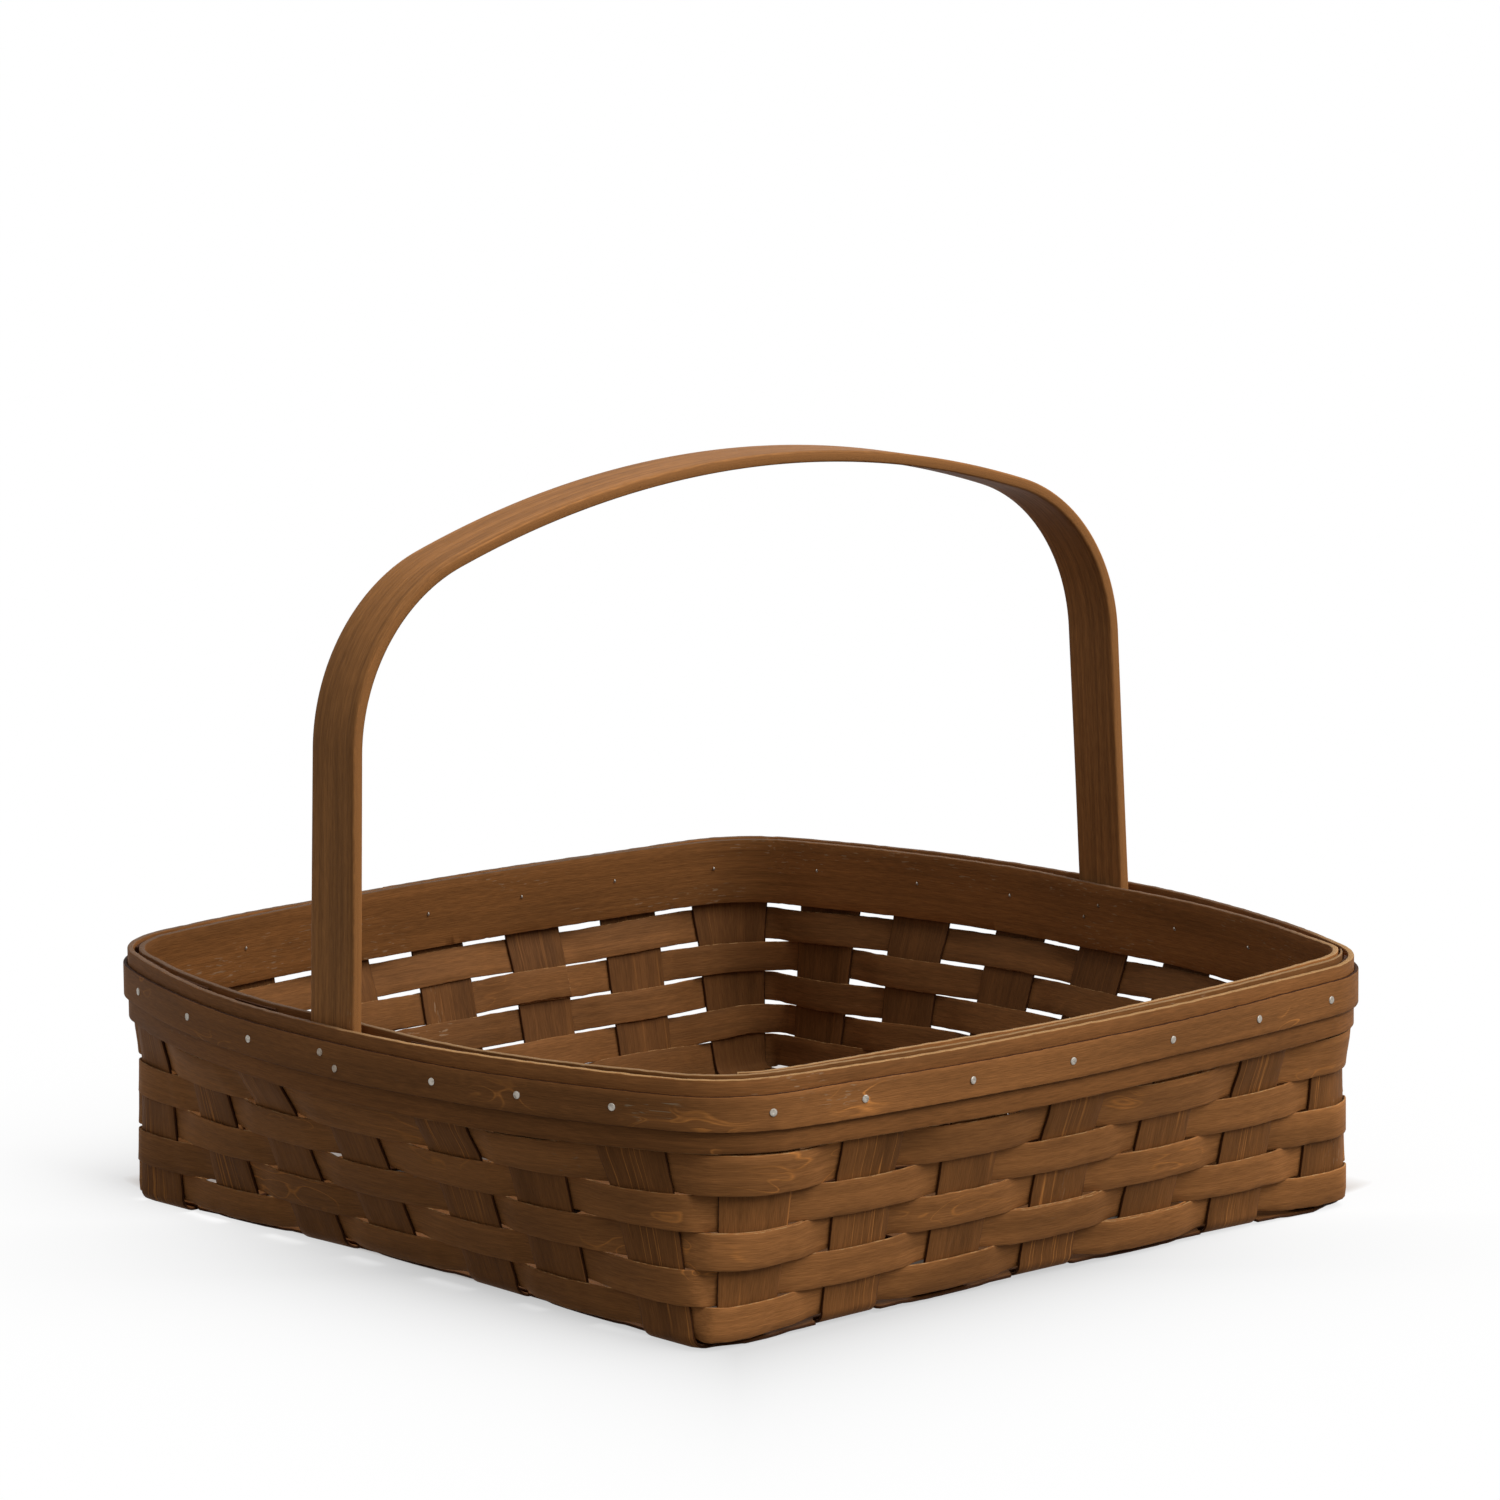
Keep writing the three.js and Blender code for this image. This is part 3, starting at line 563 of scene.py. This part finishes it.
# Where those noises set in and are full
MOTTLE_STOPS = (0.32, 0.5, 0.7)
PATCH_ENDS = np.array([0.7, 0.78])
DASH_ENDS = (0.62, 0.7)
SCUFF_ENDS = np.array([0.66, 0.74])
CHAFE_ENDS = np.array([1.5, 1.6])
FIBRE_ENDS = (0.3, 0.7)
SWIRL_RISE = (0.28, 0.38)
SWIRL_FALL = (0.38, 0.48)

LIGHT_SHARE = 0.8  # how far the light tone is from the middle one, as a share of the dark one's distance
INNER_TO_OUTER = (-0.02, 0.02)  # the grain's step from the inner face to the outer one
INNER_FIGURE = 0.15  # how much of the figure the inner face shows
LINE_BEND = 0.4
SWIRL_MIDDLE = 0.25
SCUFF_COVER = 0.6
FIBRE_DEPTH = 0.18
WOOD_SHINE = 0.08
FIBRE_BUMP = {"Strength": 0.4, "Distance": 0.0002}


def wood(
    name, tone, spread, edge_tone, edge_cover, figure, figure_share=0, inner=1, scuffs=0,
    roughness=0.65, streaks=0.11, flames=(), knots=(), rubs=(), tone_changes=(), far_edge=None,
):
    """Stained splint: mottled, with fine fibres, figure lines in patches and edges of their own tone.

    Soaked and shaded edges are partly dark with stain and partly painted shade. The inner face
    is darker by the share inner, as painted shade. Flames, knots and rubs are listed patches of
    figure lines, of swirls and of scuffs. A tone change darkens or lightens the strip from one
    place along it to another; on the inner band it is painted light and shade. A far edge is the
    tone of the edges away from the near sides.
    """
    material, tree, shader = new_material(name)
    grain = node(tree, "Attribute", attribute_name="grain").outputs["Vector"]
    edge = node(tree, "Attribute", attribute_name="edge").outputs["Fac"]
    along, face, _ = node(tree, "SeparateXYZ", {0: grain}).outputs

    shares = (1 - spread, 1, 1 + LIGHT_SHARE * spread)
    tones = [[part * share for part in tone] for share in shares]
    colour = ramp(tree, noise(tree, grain, MOTTLES, 3), *zip(MOTTLE_STOPS, tones))
    # painted shade: the inner face is darker, by the share inner
    colour = multiplied(tree, colour, ranged(tree, face, *INNER_TO_OUTER, inner, 1))

    scale, repeats, width = figure
    field = maths(tree, "MULTIPLY", noise(tree, grain, scale, 1, LINE_BEND), repeats)
    waves = maths(tree, "PINGPONG", field, 0.5)
    patches = ranged(tree, noise(tree, grain, PATCHES, 1), *PATCH_ENDS - figure_share)
    on_face = ranged(tree, face, *INNER_TO_OUTER, INNER_FIGURE, 1)
    patches = maths(tree, "MULTIPLY", patches, on_face)
    for place in flames:
        patches = maths(tree, "MAXIMUM", patches, near_place(tree, grain, *place))
    lines = maths(tree, "MULTIPLY", ranged(tree, waves, 0.5 - width, 0.5), patches)
    for place in knots:
        fall = ranged(tree, waves, *SWIRL_FALL, 1, SWIRL_MIDDLE)
        swirl = maths(tree, "MULTIPLY", ranged(tree, waves, *SWIRL_RISE), fall)
        swirl = maths(tree, "MULTIPLY", swirl, near_place(tree, grain, *place))
        lines = maths(tree, "MAXIMUM", lines, swirl)
    colour = mixed(tree, lines, colour, (*FIGURE, 1))

    dashes = ranged(tree, noise(tree, grain, DASHES), *DASH_ENDS)
    rubbed = ranged(tree, noise(tree, grain, SCUFFS), *SCUFF_ENDS - scuffs, 0, SCUFF_COVER)
    for place in rubs:
        rubbed = maths(tree, "MAXIMUM", rubbed, near_place(tree, grain, *place))
    colour = mixed(tree, maths(tree, "MULTIPLY", dashes, rubbed), colour, (*SCUFFED, 1))

    chafed = maths(tree, "ADD", edge, noise(tree, grain, CHAFES))
    edge_tone = (*edge_tone, 1)
    if far_edge:
        turn = maths(tree, "MULTIPLY", along, 2 * math.pi / (STAKES_ROUND * STAKE_PITCH))
        turn = maths(tree, "SUBTRACT", turn, 2 * math.pi * BARE_MIDDLE / STAKES_ROUND)
        bare = ranged(tree, maths(tree, "COSINE", turn), *BARE_ENDS)
        edge_tone = mixed(tree, bare, (*far_edge, 1), edge_tone)
    colour = mixed(tree, ranged(tree, chafed, *CHAFE_ENDS - edge_cover), colour, edge_tone)

    fibre = noise(tree, grain, FIBRES)
    streak = noise(tree, grain, STREAKS)
    for pattern, depth in ((fibre, FIBRE_DEPTH), (streak, streaks)):
        colour = multiplied(tree, colour, ranged(tree, pattern, *FIBRE_ENDS, 1 - depth, 1 + depth))
    for first, last, at_first, at_last in tone_changes:
        toned = ranged(tree, along, first * STAKE_PITCH, last * STAKE_PITCH, at_first, at_last)
        colour = multiplied(tree, colour, toned)

    tree.links.new(colour, shader.inputs["Base Color"])
    shader.inputs["Roughness"].default_value = roughness
    shader.inputs["Specular IOR Level"].default_value = WOOD_SHINE
    bump = node(tree, "Bump", {**FIBRE_BUMP, "Height": fibre})
    tree.links.new(bump.outputs[0], shader.inputs["Normal"])
    return material


# Listed patches: strip, place along it in stakes, place across it, reach along, reach across
STAKE_WOOD = wood(
    "stake_splint", (0.235, 0.094, 0.028), 0.22, SOAKED_AND_SHADED, 0.5, STRAIGHT_LINES, figure_share=0.2,
    # inner=0.6 is painted shade on the inner face
    inner=0.6,
)
WEAVER_WOOD = wood(
    # inner=0.55 is painted shade on the inner face
    "weaver_splint", (0.355, 0.146, 0.045), 0.25, RAW, 0.02, FLAMES, figure_share=0.1, inner=0.55,
    flames=[
        ("weaver_row_3", 32.2, 0, 0.016, 0.005),
        ("weaver_row_2", 24.0, 0, 0.012, 0.005),
    ],
    knots=[
        ("weaver_row_1", 31.48, 0.001, 0.009, 0.0045),
        ("weaver_row_2", 27.28, -0.001, 0.011, 0.0045),
    ],
)
INNER_BAND_WOOD = wood(
    "inner_band_wood", (0.23, 0.092, 0.026), 0.18, DULL_RAW, 0.3, FLAMES, scuffs=0.14,
    # painted light and shade: the band's inside is lighter up to the right side's end and darker from
    # the back round to the front
    tone_changes=[(13, 14, 1.17, 0.85)],
    far_edge=FAR_EDGE_TONE,
)
OUTER_BAND_WOOD = wood(
    "outer_band_wood", (0.25, 0.1, 0.03), 0.18, RAW, 0.2, FLAMES, figure_share=0.03,
    knots=[("outer_rim_band", 27.5, -0.0095, 0.007, 0.003)],
    far_edge=FAR_EDGE_TONE,
)
TRIM_WOOD = wood(
    "rim_trim_splint", (0.29, 0.118, 0.036), 0.2, SOAKED_AND_SHADED, 0.3, FLAMES, figure_share=0.07, scuffs=0.03,
    flames=[
        ("rim_trim_strip", 28.8, 0, 0.015, 0.006),
        ("rim_trim_strip", 33.3, -0.003, 0.012, 0.005),
    ],
    knots=[("rim_trim_strip", 27.45, -0.003, 0.018, 0.006)],
    rubs=[("rim_trim_strip", 27.2, 0.002, 0.009, 0.006)],
    tone_changes=[(27, 28.5, 0.82, 1.12), (29.5, 32.5, 1, 0.76)],
)
HANDLE_WOOD = wood(
    "handle_bentwood", (0.335, 0.145, 0.046), 0.1, (0.36, 0.15, 0.045), 0, STRAIGHT_LINES,
    roughness=0.6, streaks=0.24,
)

METAL_SPOTS = (900, 900, 900)
METAL_SPOT_ENDS = (0.45, 0.7)
METAL_ROUGHNESS = (0.38, 0.6)  # bright, spotted
METALLIC = 0.7


def metal(name, colour, toned):
    material, tree, shader = new_material(name)
    place = node(tree, "TexCoord").outputs["Object"]
    spots = ranged(tree, noise(tree, place, METAL_SPOTS, 3), *METAL_SPOT_ENDS)
    shader.inputs["Metallic"].default_value = METALLIC
    tree.links.new(mixed(tree, spots, (*colour, 1), (*toned, 1)), shader.inputs["Base Color"])
    tree.links.new(ranged(tree, spots, 0, 1, *METAL_ROUGHNESS), shader.inputs["Roughness"])
    return material


ZINC = metal("dull_zinc", (0.45, 0.41, 0.355), (0.26, 0.23, 0.19))
STAINED_ZINC = metal("stained_zinc", (0.27, 0.22, 0.17), (0.13, 0.09, 0.06))


# Stakes
def stake(along_y, number):
    name = f"stake_along_{'y' if along_y else 'x'}_{number + 1}"
    start, end = (0, 2) if along_y else (3, 1)
    at_start = number if along_y else STAKES - 1 - number
    at_end = STAKES - 1 - at_start
    a = (at_start - MIDDLE_STAKE) * STAKE_PITCH
    bend = FREE_SIDE_BEND if along_y else HANDLE_SIDE_BEND
    turn = np.linspace(0, BEND_TURN, BEND_STATIONS)
    low = FLOOR_LEVEL + bend * (1 - np.cos(turn))
    high = RIM_TOP - STAKE_SET_DOWN
    slope = np.linspace(low[-1], high, int((high - low[-1]) / STAKE_STEP))[1:]
    levels = np.concatenate([low, slope])
    reach = END_STAKE + STAKE_WIDTH / 2
    outermost = number in (0, STAKES - 1)
    floor = np.linspace(reach, -reach, int(2 * reach / STAKE_STEP * (2 if outermost else 1)))

    wall_run = np.concatenate([bend * turn, bend * turn[-1] + slope - low[-1]])
    wall_run = reach + FOOT_GRAIN + wall_run
    run = np.concatenate([wall_run[::-1], floor, -wall_run])
    half_width = STAKE_WIDTH / 2 + wobble(run, *STAKE_UNEVEN)
    section = Section(STAKE_COLUMNS)
    across, depth = section.spread(half_width, STAKE_THICKNESS / 2, STAKE_EASE)
    across = frayed(section, across, SPLINT_FRAY)
    place = a + across + wobble(run, *STAKE_SWAY)[:, None]

    first, last = (3, 1) if along_y else (2, 0)  # sides that the crossing stakes stand on
    at_first, at_last = -FOOT_SHIFTS[first][::-1], FOOT_SHIFTS[last]
    shifts = at_first + (at_last - at_first) * (a + reach) / (2 * reach)
    crossings = np.arange(STAKES) + shifts / STAKE_PITCH

    def crossing_at(out):
        """Whether this stake is below the nearest crossing one, and how far off that is, in pitches."""
        other = np.interp(MIDDLE_STAKE - out / STAKE_PITCH, crossings, np.arange(STAKES))
        count = np.clip(np.rint(other), 0, STAKES - 1)
        below = ((number + count) % 2 == 0) != along_y
        return below, np.where(np.abs(out) > END_STAKE, HALF_STAKE, np.abs(other - count))

    def wave_at(out):
        below, off = crossing_at(out)
        return np.where(below, 1, -1) * FLOOR_WAVE * over(off, FLOOR_CREST)

    def wall(side, on_side, place, depth, z, wave):
        rising = wave * (1 - smooth((z - FLOOR_LEVEL) / FOOT_RUN))
        place = place + stake_shift(side, on_side, z)[:, None]
        spot = Spot(np.full_like(place, side, dtype=int), place, np.zeros_like(place))
        z = np.broadcast_to(z[:, None], place.shape)
        return on_surface(WALL, spot, z, depth + rising[:, None] + flare(spot, z))

    down, middle, up = np.split(np.arange(len(run)), [len(levels), len(levels) + len(floor)])
    foot_shifts = [-FOOT_SHIFTS[end, at_end], FOOT_SHIFTS[start, at_start]]
    on_floor = place[middle] + np.interp(floor, [-reach, reach], foot_shifts)[:, None]
    wave = wave_at(floor)
    if outermost:
        below, off = crossing_at(floor)
        crossing = np.where(below, 0, smooth((HALF_STAKE + END_STRIP_RISE - off) / END_STRIP_RISE))
        free = smooth((reach - np.abs(floor)) / END_STRIP_RUN)
        outer_half = np.clip(np.sign(a) * across[middle] / (STAKE_WIDTH / 2), 0, 1)
        most_out = END_STRIP_OUT if along_y or number > 0 else FRONT_STRIP_OUT
        coming_out = most_out * free * (1 - crossing)
        on_floor = on_floor + np.sign(a) * outer_half * coming_out[:, None]
        low_edge = np.maximum(wave, FLOOR_WAVE * (LOW_EDGE - LOW_EDGE_RISE * crossing))
        wave = wave[:, None] + outer_half * (free * (low_edge - wave))[:, None]
    else:
        wave = wave[:, None]
    flat = on_floor[..., None] * ALONG[start] + floor[:, None, None] * OUTWARD[start]
    height = FLOOR_LEVEL - wave - depth[middle]
    points = np.concatenate([
        wall(start, at_start, place[down], depth[down], levels[::-1], wave_at(np.array([reach]))),
        np.concatenate([flat, height[..., None]], -1),
        wall(end, at_end, -place[up], depth[up], levels, wave_at(np.array([-reach]))),
    ])
    piece = add_strip(name, section, lifted(points), run, across)
    finish_piece(piece, STAKE_WOOD, name)


for number in range(STAKES):
    stake(True, number)
    stake(False, number)


# Weavers
def weaver(row):
    splice = SPLICES[row - 1]
    total = STAKES_ROUND + LAPPED_STAKES - 1 + 2 * LAP_END
    phase = splice - LAP_END + np.linspace(0, total, int(total / WEAVER_STEP))
    count = np.rint(phase)
    crest = np.interp(np.abs(phase % STAKES - MIDDLE_STAKE), CREST_PLACES, WALL_CRESTS)
    wave = np.where((count + row) % 2 == 1, 1, -1) * over(phase - count, crest)
    started = phase - splice
    full = np.clip(wave, -1, 1)
    lap = np.where(started >= STAKES_ROUND, full + 1, 0)
    lap = np.where(started < LAPPED_STAKES, full - 1, lap)
    offset = WALL_WAVE * wave + LAP_LIFT / 2 * lap
    run = phase * STAKE_PITCH
    front, far, left = WEAVER_WIDTHS
    width = np.interp(
        phase % STAKES_ROUND, [0, *FAR_SIDES, STAKES_ROUND - 1, STAKES_ROUND],
        [front, front, far, far, left, left, front],
    )
    far_side = np.interp(phase % STAKES_ROUND, FAR_SIDES, [0, 1, 1, 0])
    extra = np.interp(far_side, [0, 1], TOP_ROW_EXTRA) * (row == 1)
    lowest = np.interp(far_side, [0, 1], LOWEST_ROW_EXTRA) * (row == ROWS)
    half_width = width / 2 + extra + lowest + wobble(run, *WEAVER_UNEVEN)
    section = Section(WEAVER_COLUMNS)
    across, depth = section.spread(half_width, WEAVER_THICKNESS / 2, WEAVER_EASE)
    across = frayed(section, across, SPLINT_FRAY)
    middle = LOWEST_ROW + (ROWS - row) * ROW_PITCH + extra + LOWEST_ROW_RISE * (row == ROWS)
    drift = wobble(run, *WEAVER_DRIFT) + far_side * wobble(run, *FAR_DRIFT)
    z = (middle + drift)[:, None] + across
    spot = Spot(*(part[:, None] for part in spot_round(phase, middle)))
    tilt = (WEAVER_TILT * (1 - full ** 2) / half_width)[:, None] * across
    points = lifted(on_surface(WALL, spot, z, offset[:, None] - tilt + depth + flare(spot, z)))
    piece = add_strip(f"weaver_row_{row}", section, points, run, across)
    finish_piece(piece, WEAVER_WOOD, f"weaver_row_{row}")


for row in range(1, ROWS + 1):
    weaver(row)


# Rim strips, each lapped over its own start
def rim_strip(name, form, phases, outers, inners, drops, material, slot):
    """A band from its two faces and its drop, each at several places round the rim."""
    low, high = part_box(name)
    phase = np.linspace(phases[0], phases[-1], int((phases[-1] - phases[0]) / BAND_STEP))
    outer, inner, drop = (np.interp(phase, phases, values) for values in (outers, inners, drops))
    half = (high[2] - low[2]) / 2
    run = phase * STAKE_PITCH
    section = Section(RIM_COLUMNS)
    half_width = half + wobble(run, *RIM_UNEVEN)
    across, depth = section.spread(half_width, (outer - inner) / 2, RIM_EASE)
    across = frayed(section, across, RIM_FRAY)
    z = (high[2] + low[2]) / 2 + across + (wobble(run, *RIM_DRIFT) - drop)[:, None]
    spot = Spot(*(part[:, None] for part in spot_round(phase, RIM_TOP)))
    offset = ((outer + inner) / 2)[:, None] + depth
    if form == WALL:
        offset = offset + flare(spot, z)
    points = on_surface(form, spot, z, offset)
    piece = add_strip(name, section, points, run, across)
    finish_piece(piece, material, name)


def feathered(lap, outer, thickness):
    """Faces and drops of a band whose two ends taper over each other at a stake."""
    lapped = [0, 1, 1 + BAND_STEP]
    phases = lap - 0.5 + np.array(lapped + [STAKES_ROUND + 1 - place for place in lapped[::-1]])
    inner = outer - thickness
    tip = SCARF_TIP + SCARF_GAP
    outers = [inner + SCARF_TIP, outer - tip, outer, outer, outer, outer]
    inners = [inner, inner, inner, inner, inner + tip, outer - SCARF_TIP]
    return phases, outers, inners, np.zeros(len(phases))


rim_strip(
    "inner_rim_band", WALL, INNER_BAND_PHASES, INNER_BAND_OUTER, INNER_BAND_INNER, INNER_BAND_DROPS,
    INNER_BAND_WOOD, "rim_band",
)
rim_strip(
    "outer_rim_band", RIM, *feathered(OUTER_BAND_LAP, 0, BAND_THICKNESS),
    OUTER_BAND_WOOD, "rim_band",
)
rim_strip(
    "rim_trim_strip", RIM, *feathered(TRIM_LAP, TRIM_FACE, TRIM_THICKNESS),
    TRIM_WOOD, "rim_trim",
)


# Handle
def half_handle(lean):
    """Places and outward normals along the outer face, from the top of the crown to the end of a leg."""
    crown = np.array([0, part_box("handle")[1][2] - CROWN_RADIUS])
    reach = CROWN_RADIUS - SHOULDER_RADIUS
    leg = LEG_OUTER * math.cos(lean) + (RIM_TOP - crown[1]) * math.sin(lean)
    crown_turn = math.asin((leg - SHOULDER_RADIUS) / reach) - lean
    shoulder = crown + reach * np.array([math.sin(crown_turn), math.cos(crown_turn)])

    def arc(centre, radius, first, last):
        turn = np.linspace(first, last, int(radius * (last - first) / HANDLE_STEP))
        normal = np.stack([np.sin(turn), np.cos(turn)], -1)
        return centre + radius * normal, normal

    over_crown, crown_normal = arc(crown, CROWN_RADIUS, 0, crown_turn)
    over_shoulder, shoulder_normal = arc(shoulder, SHOULDER_RADIUS, crown_turn, math.pi / 2 - lean)
    height = np.arange(over_shoulder[-1][1] - HANDLE_STEP, RIM_BOTTOM + LEG_END_GAP, -HANDLE_STEP)
    above = smooth((height - RIM_TOP + RIM_TURN) / (2 * RIM_TURN))
    slant = (height - RIM_TOP) * math.tan(lean) * above
    down = np.stack([LEG_OUTER - slant, height], -1)
    down_normal = np.stack([np.cos(lean * above), np.sin(lean * above)], -1)
    return (
        np.concatenate([over_crown[:-1], over_shoulder, down]),
        np.concatenate([crown_normal[:-1], shoulder_normal, down_normal]),
    )


def handle_path():
    mirror = np.array([-1, 1])
    left, right = (half_handle(lean) for lean in LEG_LEANS)
    return [np.concatenate([a[:0:-1] * mirror, b]) for a, b in zip(left, right)]


def handle():
    places, normals = handle_path()
    steps = np.linalg.norm(np.diff(places, axis=0), axis=1)
    run = np.concatenate([[0], np.cumsum(steps)])
    section = Section(HANDLE_COLUMNS)
    half_width = HANDLE_WIDTH / 2 + wobble(run, *HANDLE_UNEVEN)
    across, depth = section.spread(half_width, HANDLE_THICKNESS / 2, HANDLE_EASE)
    inward = depth - HANDLE_THICKNESS / 2
    spread = places[:, None] + normals[:, None] * inward[..., None]
    sway = wobble(run, *HANDLE_SWAY)
    points = np.stack([spread[..., 0], across + sway[:, None], spread[..., 1]], -1)
    piece = add_strip("handle", section, points, run, across)
    finish_piece(piece, HANDLE_WOOD, "handle")


handle()


# Tacks: a head on the trim strip, a shank through the rim and a point bent over inside
def tack(name, side, a, z, material):
    spot = Spot(np.array(side), np.array(a), np.array(0.0))
    z = np.array(z)
    seat = on_surface(RIM, spot, z, TACK_SEAT)
    axis = surface_normal(RIM, spot, z)
    phase = side * STAKES + MIDDLE_STAKE + a / STAKE_PITCH
    phase = phase + STAKES_ROUND * (phase < INNER_BAND_PHASES[0])
    inner_face = np.interp(phase, INNER_BAND_PHASES, INNER_BAND_INNER) + flare(spot, z)
    deep = (seat - on_surface(WALL, spot, z, inner_face)) @ axis
    axis = axis + rng.normal(size=3) * TACK_TILT
    axis = axis / np.linalg.norm(axis)
    aside = np.append(ALONG[side], 0.0)
    aside = aside - axis * (aside @ axis)
    aside = aside / np.linalg.norm(aside)
    up = np.cross(axis, aside) * (1 if np.cross(axis, aside)[2] > 0 else -1)

    steps = [(seat + axis * height, -axis, radius) for height, radius in TACK_HEAD]
    for depth, rise, radius, turned in TACK_POINT:
        centre = seat - axis * (deep + depth) + up * rise
        steps.append((centre, up * turned - axis * (1 - turned), radius))
    angles = np.linspace(0, 2 * np.pi, TACK_SIDES, endpoint=False)[:, None]
    rings = []
    for centre, direction, radius in steps:
        level = np.cross(direction / np.linalg.norm(direction), aside)
        rings.append(centre + radius * (np.cos(angles) * aside + np.sin(angles) * level))
    points = np.array(rings)
    piece = add_mesh("visual_" + name, points, points, np.zeros(points.shape[:2]))
    finish_piece(piece, material, name)


for side, (side_name, shifts) in enumerate(TACK_SHIFTS.items()):
    places = []
    for number, shift in enumerate(shifts):
        a = (number - MIDDLE_STAKE) * STAKE_PITCH + shift
        if side % 2 == 1 and number == MIDDLE_STAKE:
            places.append((a - HANDLE_TACK_SHIFT, TACK_LINE + HANDLE_TACK_STEP, STAINED_ZINC))
            places.append((a + HANDLE_TACK_SHIFT, TACK_LINE - HANDLE_TACK_STEP, STAINED_ZINC))
        else:
            places.append((a, TACK_LINE, ZINC))
    for number, (a, z, material) in enumerate(places):
        tack(f"tack_{side_name}_{number + 1}", side, a, z, material)


# Floor, light and camera
def seen(tree):
    """1 for rays on which the floor and the world are a background."""
    path = node(tree, "LightPath").outputs
    rays = maths(tree, "MAXIMUM", path["Is Camera Ray"], path["Is Glossy Ray"])
    return maths(tree, "MAXIMUM", rays, path["Is Transmission Ray"])


half = FLOOR_SIZE / 2
floor_mesh = bpy.data.meshes.new("floor")
floor_mesh.from_pydata(
    [(-half, -half, 0), (half, -half, 0), (half, half, 0), (-half, half, 0)], [], [(0, 1, 2, 3)]
)
floor = bpy.data.objects.new("floor", floor_mesh)
scene.collection.objects.link(floor)
floor_material, tree, shader = new_material("studio_floor")
as_seen = seen(tree)
place = node(tree, "TexCoord").outputs["Object"]
near_side = vector_maths(tree, "SUBTRACT", vector_maths(tree, "SCALE", place, -1), UNDER_BASKET)
far_side = vector_maths(tree, "SUBTRACT", place, UNDER_BASKET)
near_side = vector_maths(tree, "MAXIMUM", near_side, (0, 0, 0))
far_side = vector_maths(tree, "MAXIMUM", far_side, (0, 0, 0))
far_side = vector_maths(tree, "SCALE", far_side, 1 / SHADOW_SIDE)
beyond = length(tree, vector_maths(tree, "ADD", near_side, far_side))
lit = maths(tree, "DIVIDE", CAST_RUN, maths(tree, "ADD", beyond, CAST_RUN))
bounce = ranged(tree, beyond, 0, SHADOW_RUN, FLOOR_UNDER, FLOOR_BOUNCE)
# painted soft shade on the floor before the basket's near corner and near sides
turned = node(tree, "Mapping", {"Vector": place, "Rotation": SHADE_TURN}).outputs[0]
turned = node(tree, "SeparateXYZ", {0: turned}).outputs
before = maths(tree, "SUBTRACT", maths(tree, "ABSOLUTE", turned["X"]), turned["Y"])
before = maths(tree, "MAXIMUM", maths(tree, "SUBTRACT", before, SHADE_FROM), 0)
faded = maths(tree, "EXPONENT", maths(tree, "DIVIDE", before, -SHADE_RUN))
shade = maths(tree, "MULTIPLY", faded, ranged(tree, turned["Y"], *SHADE_ENDS, 0, SHADE))
pale = maths(tree, "SUBTRACT", 1, shade)
# painted shadow under and just beside the basket, where the floor is seen through it
pale = maths(tree, "MULTIPLY", pale, ranged(tree, beyond, 0, SHADOW_RUN, FLOOR_THROUGH, 1))
# painted warm tint in that shadow
shadow_tint = mixed(tree, ranged(tree, beyond, 0, SHADOW_RUN), PAINTED_SHADOW_TINT, FLOOR_WHITE)
grey = multiplied(tree, shadow_tint, maths(tree, "MULTIPLY", lit, pale))
tree.links.new(mixed(tree, as_seen, bounce, grey), shader.inputs["Base Color"])
tree.links.new(shadow_tint, shader.inputs["Emission Color"])
glow = maths(tree, "MULTIPLY", pale, maths(tree, "SUBTRACT", 1, lit))
tree.links.new(maths(tree, "MULTIPLY", as_seen, glow), shader.inputs["Emission Strength"])
shader.inputs["Roughness"].default_value = 1
shader.inputs["Specular IOR Level"].default_value = 0
floor_mesh.materials.append(floor_material)

world = bpy.data.worlds.new("studio")
world.use_nodes = True
background = world.node_tree.nodes["Background"]
background.inputs["Color"].default_value = (1, 1, 1, 1)
strength = ranged(world.node_tree, seen(world.node_tree), 0, 1, AMBIENT, 1)
world.node_tree.links.new(strength, background.inputs["Strength"])
scene.world = world

key = bpy.data.objects.new("key", bpy.data.lights.new("key", "SUN"))
key.data.energy = KEY_STRENGTH
key.data.angle = KEY_ANGLE
key.rotation_euler = Vector(KEY_FROM).to_track_quat("Z", "Y").to_euler()
scene.collection.objects.link(key)

camera = bpy.data.objects.new("camera", bpy.data.cameras.new("camera"))
camera.data.sensor_width = CAMERA_SENSOR
camera.data.lens = CAMERA_LENS
camera.location = CAMERA_PLACE
camera.rotation_euler = [math.radians(turn) for turn in CAMERA_TURN]
scene.collection.objects.link(camera)
scene.camera = camera

scene.view_settings.view_transform = "Standard"
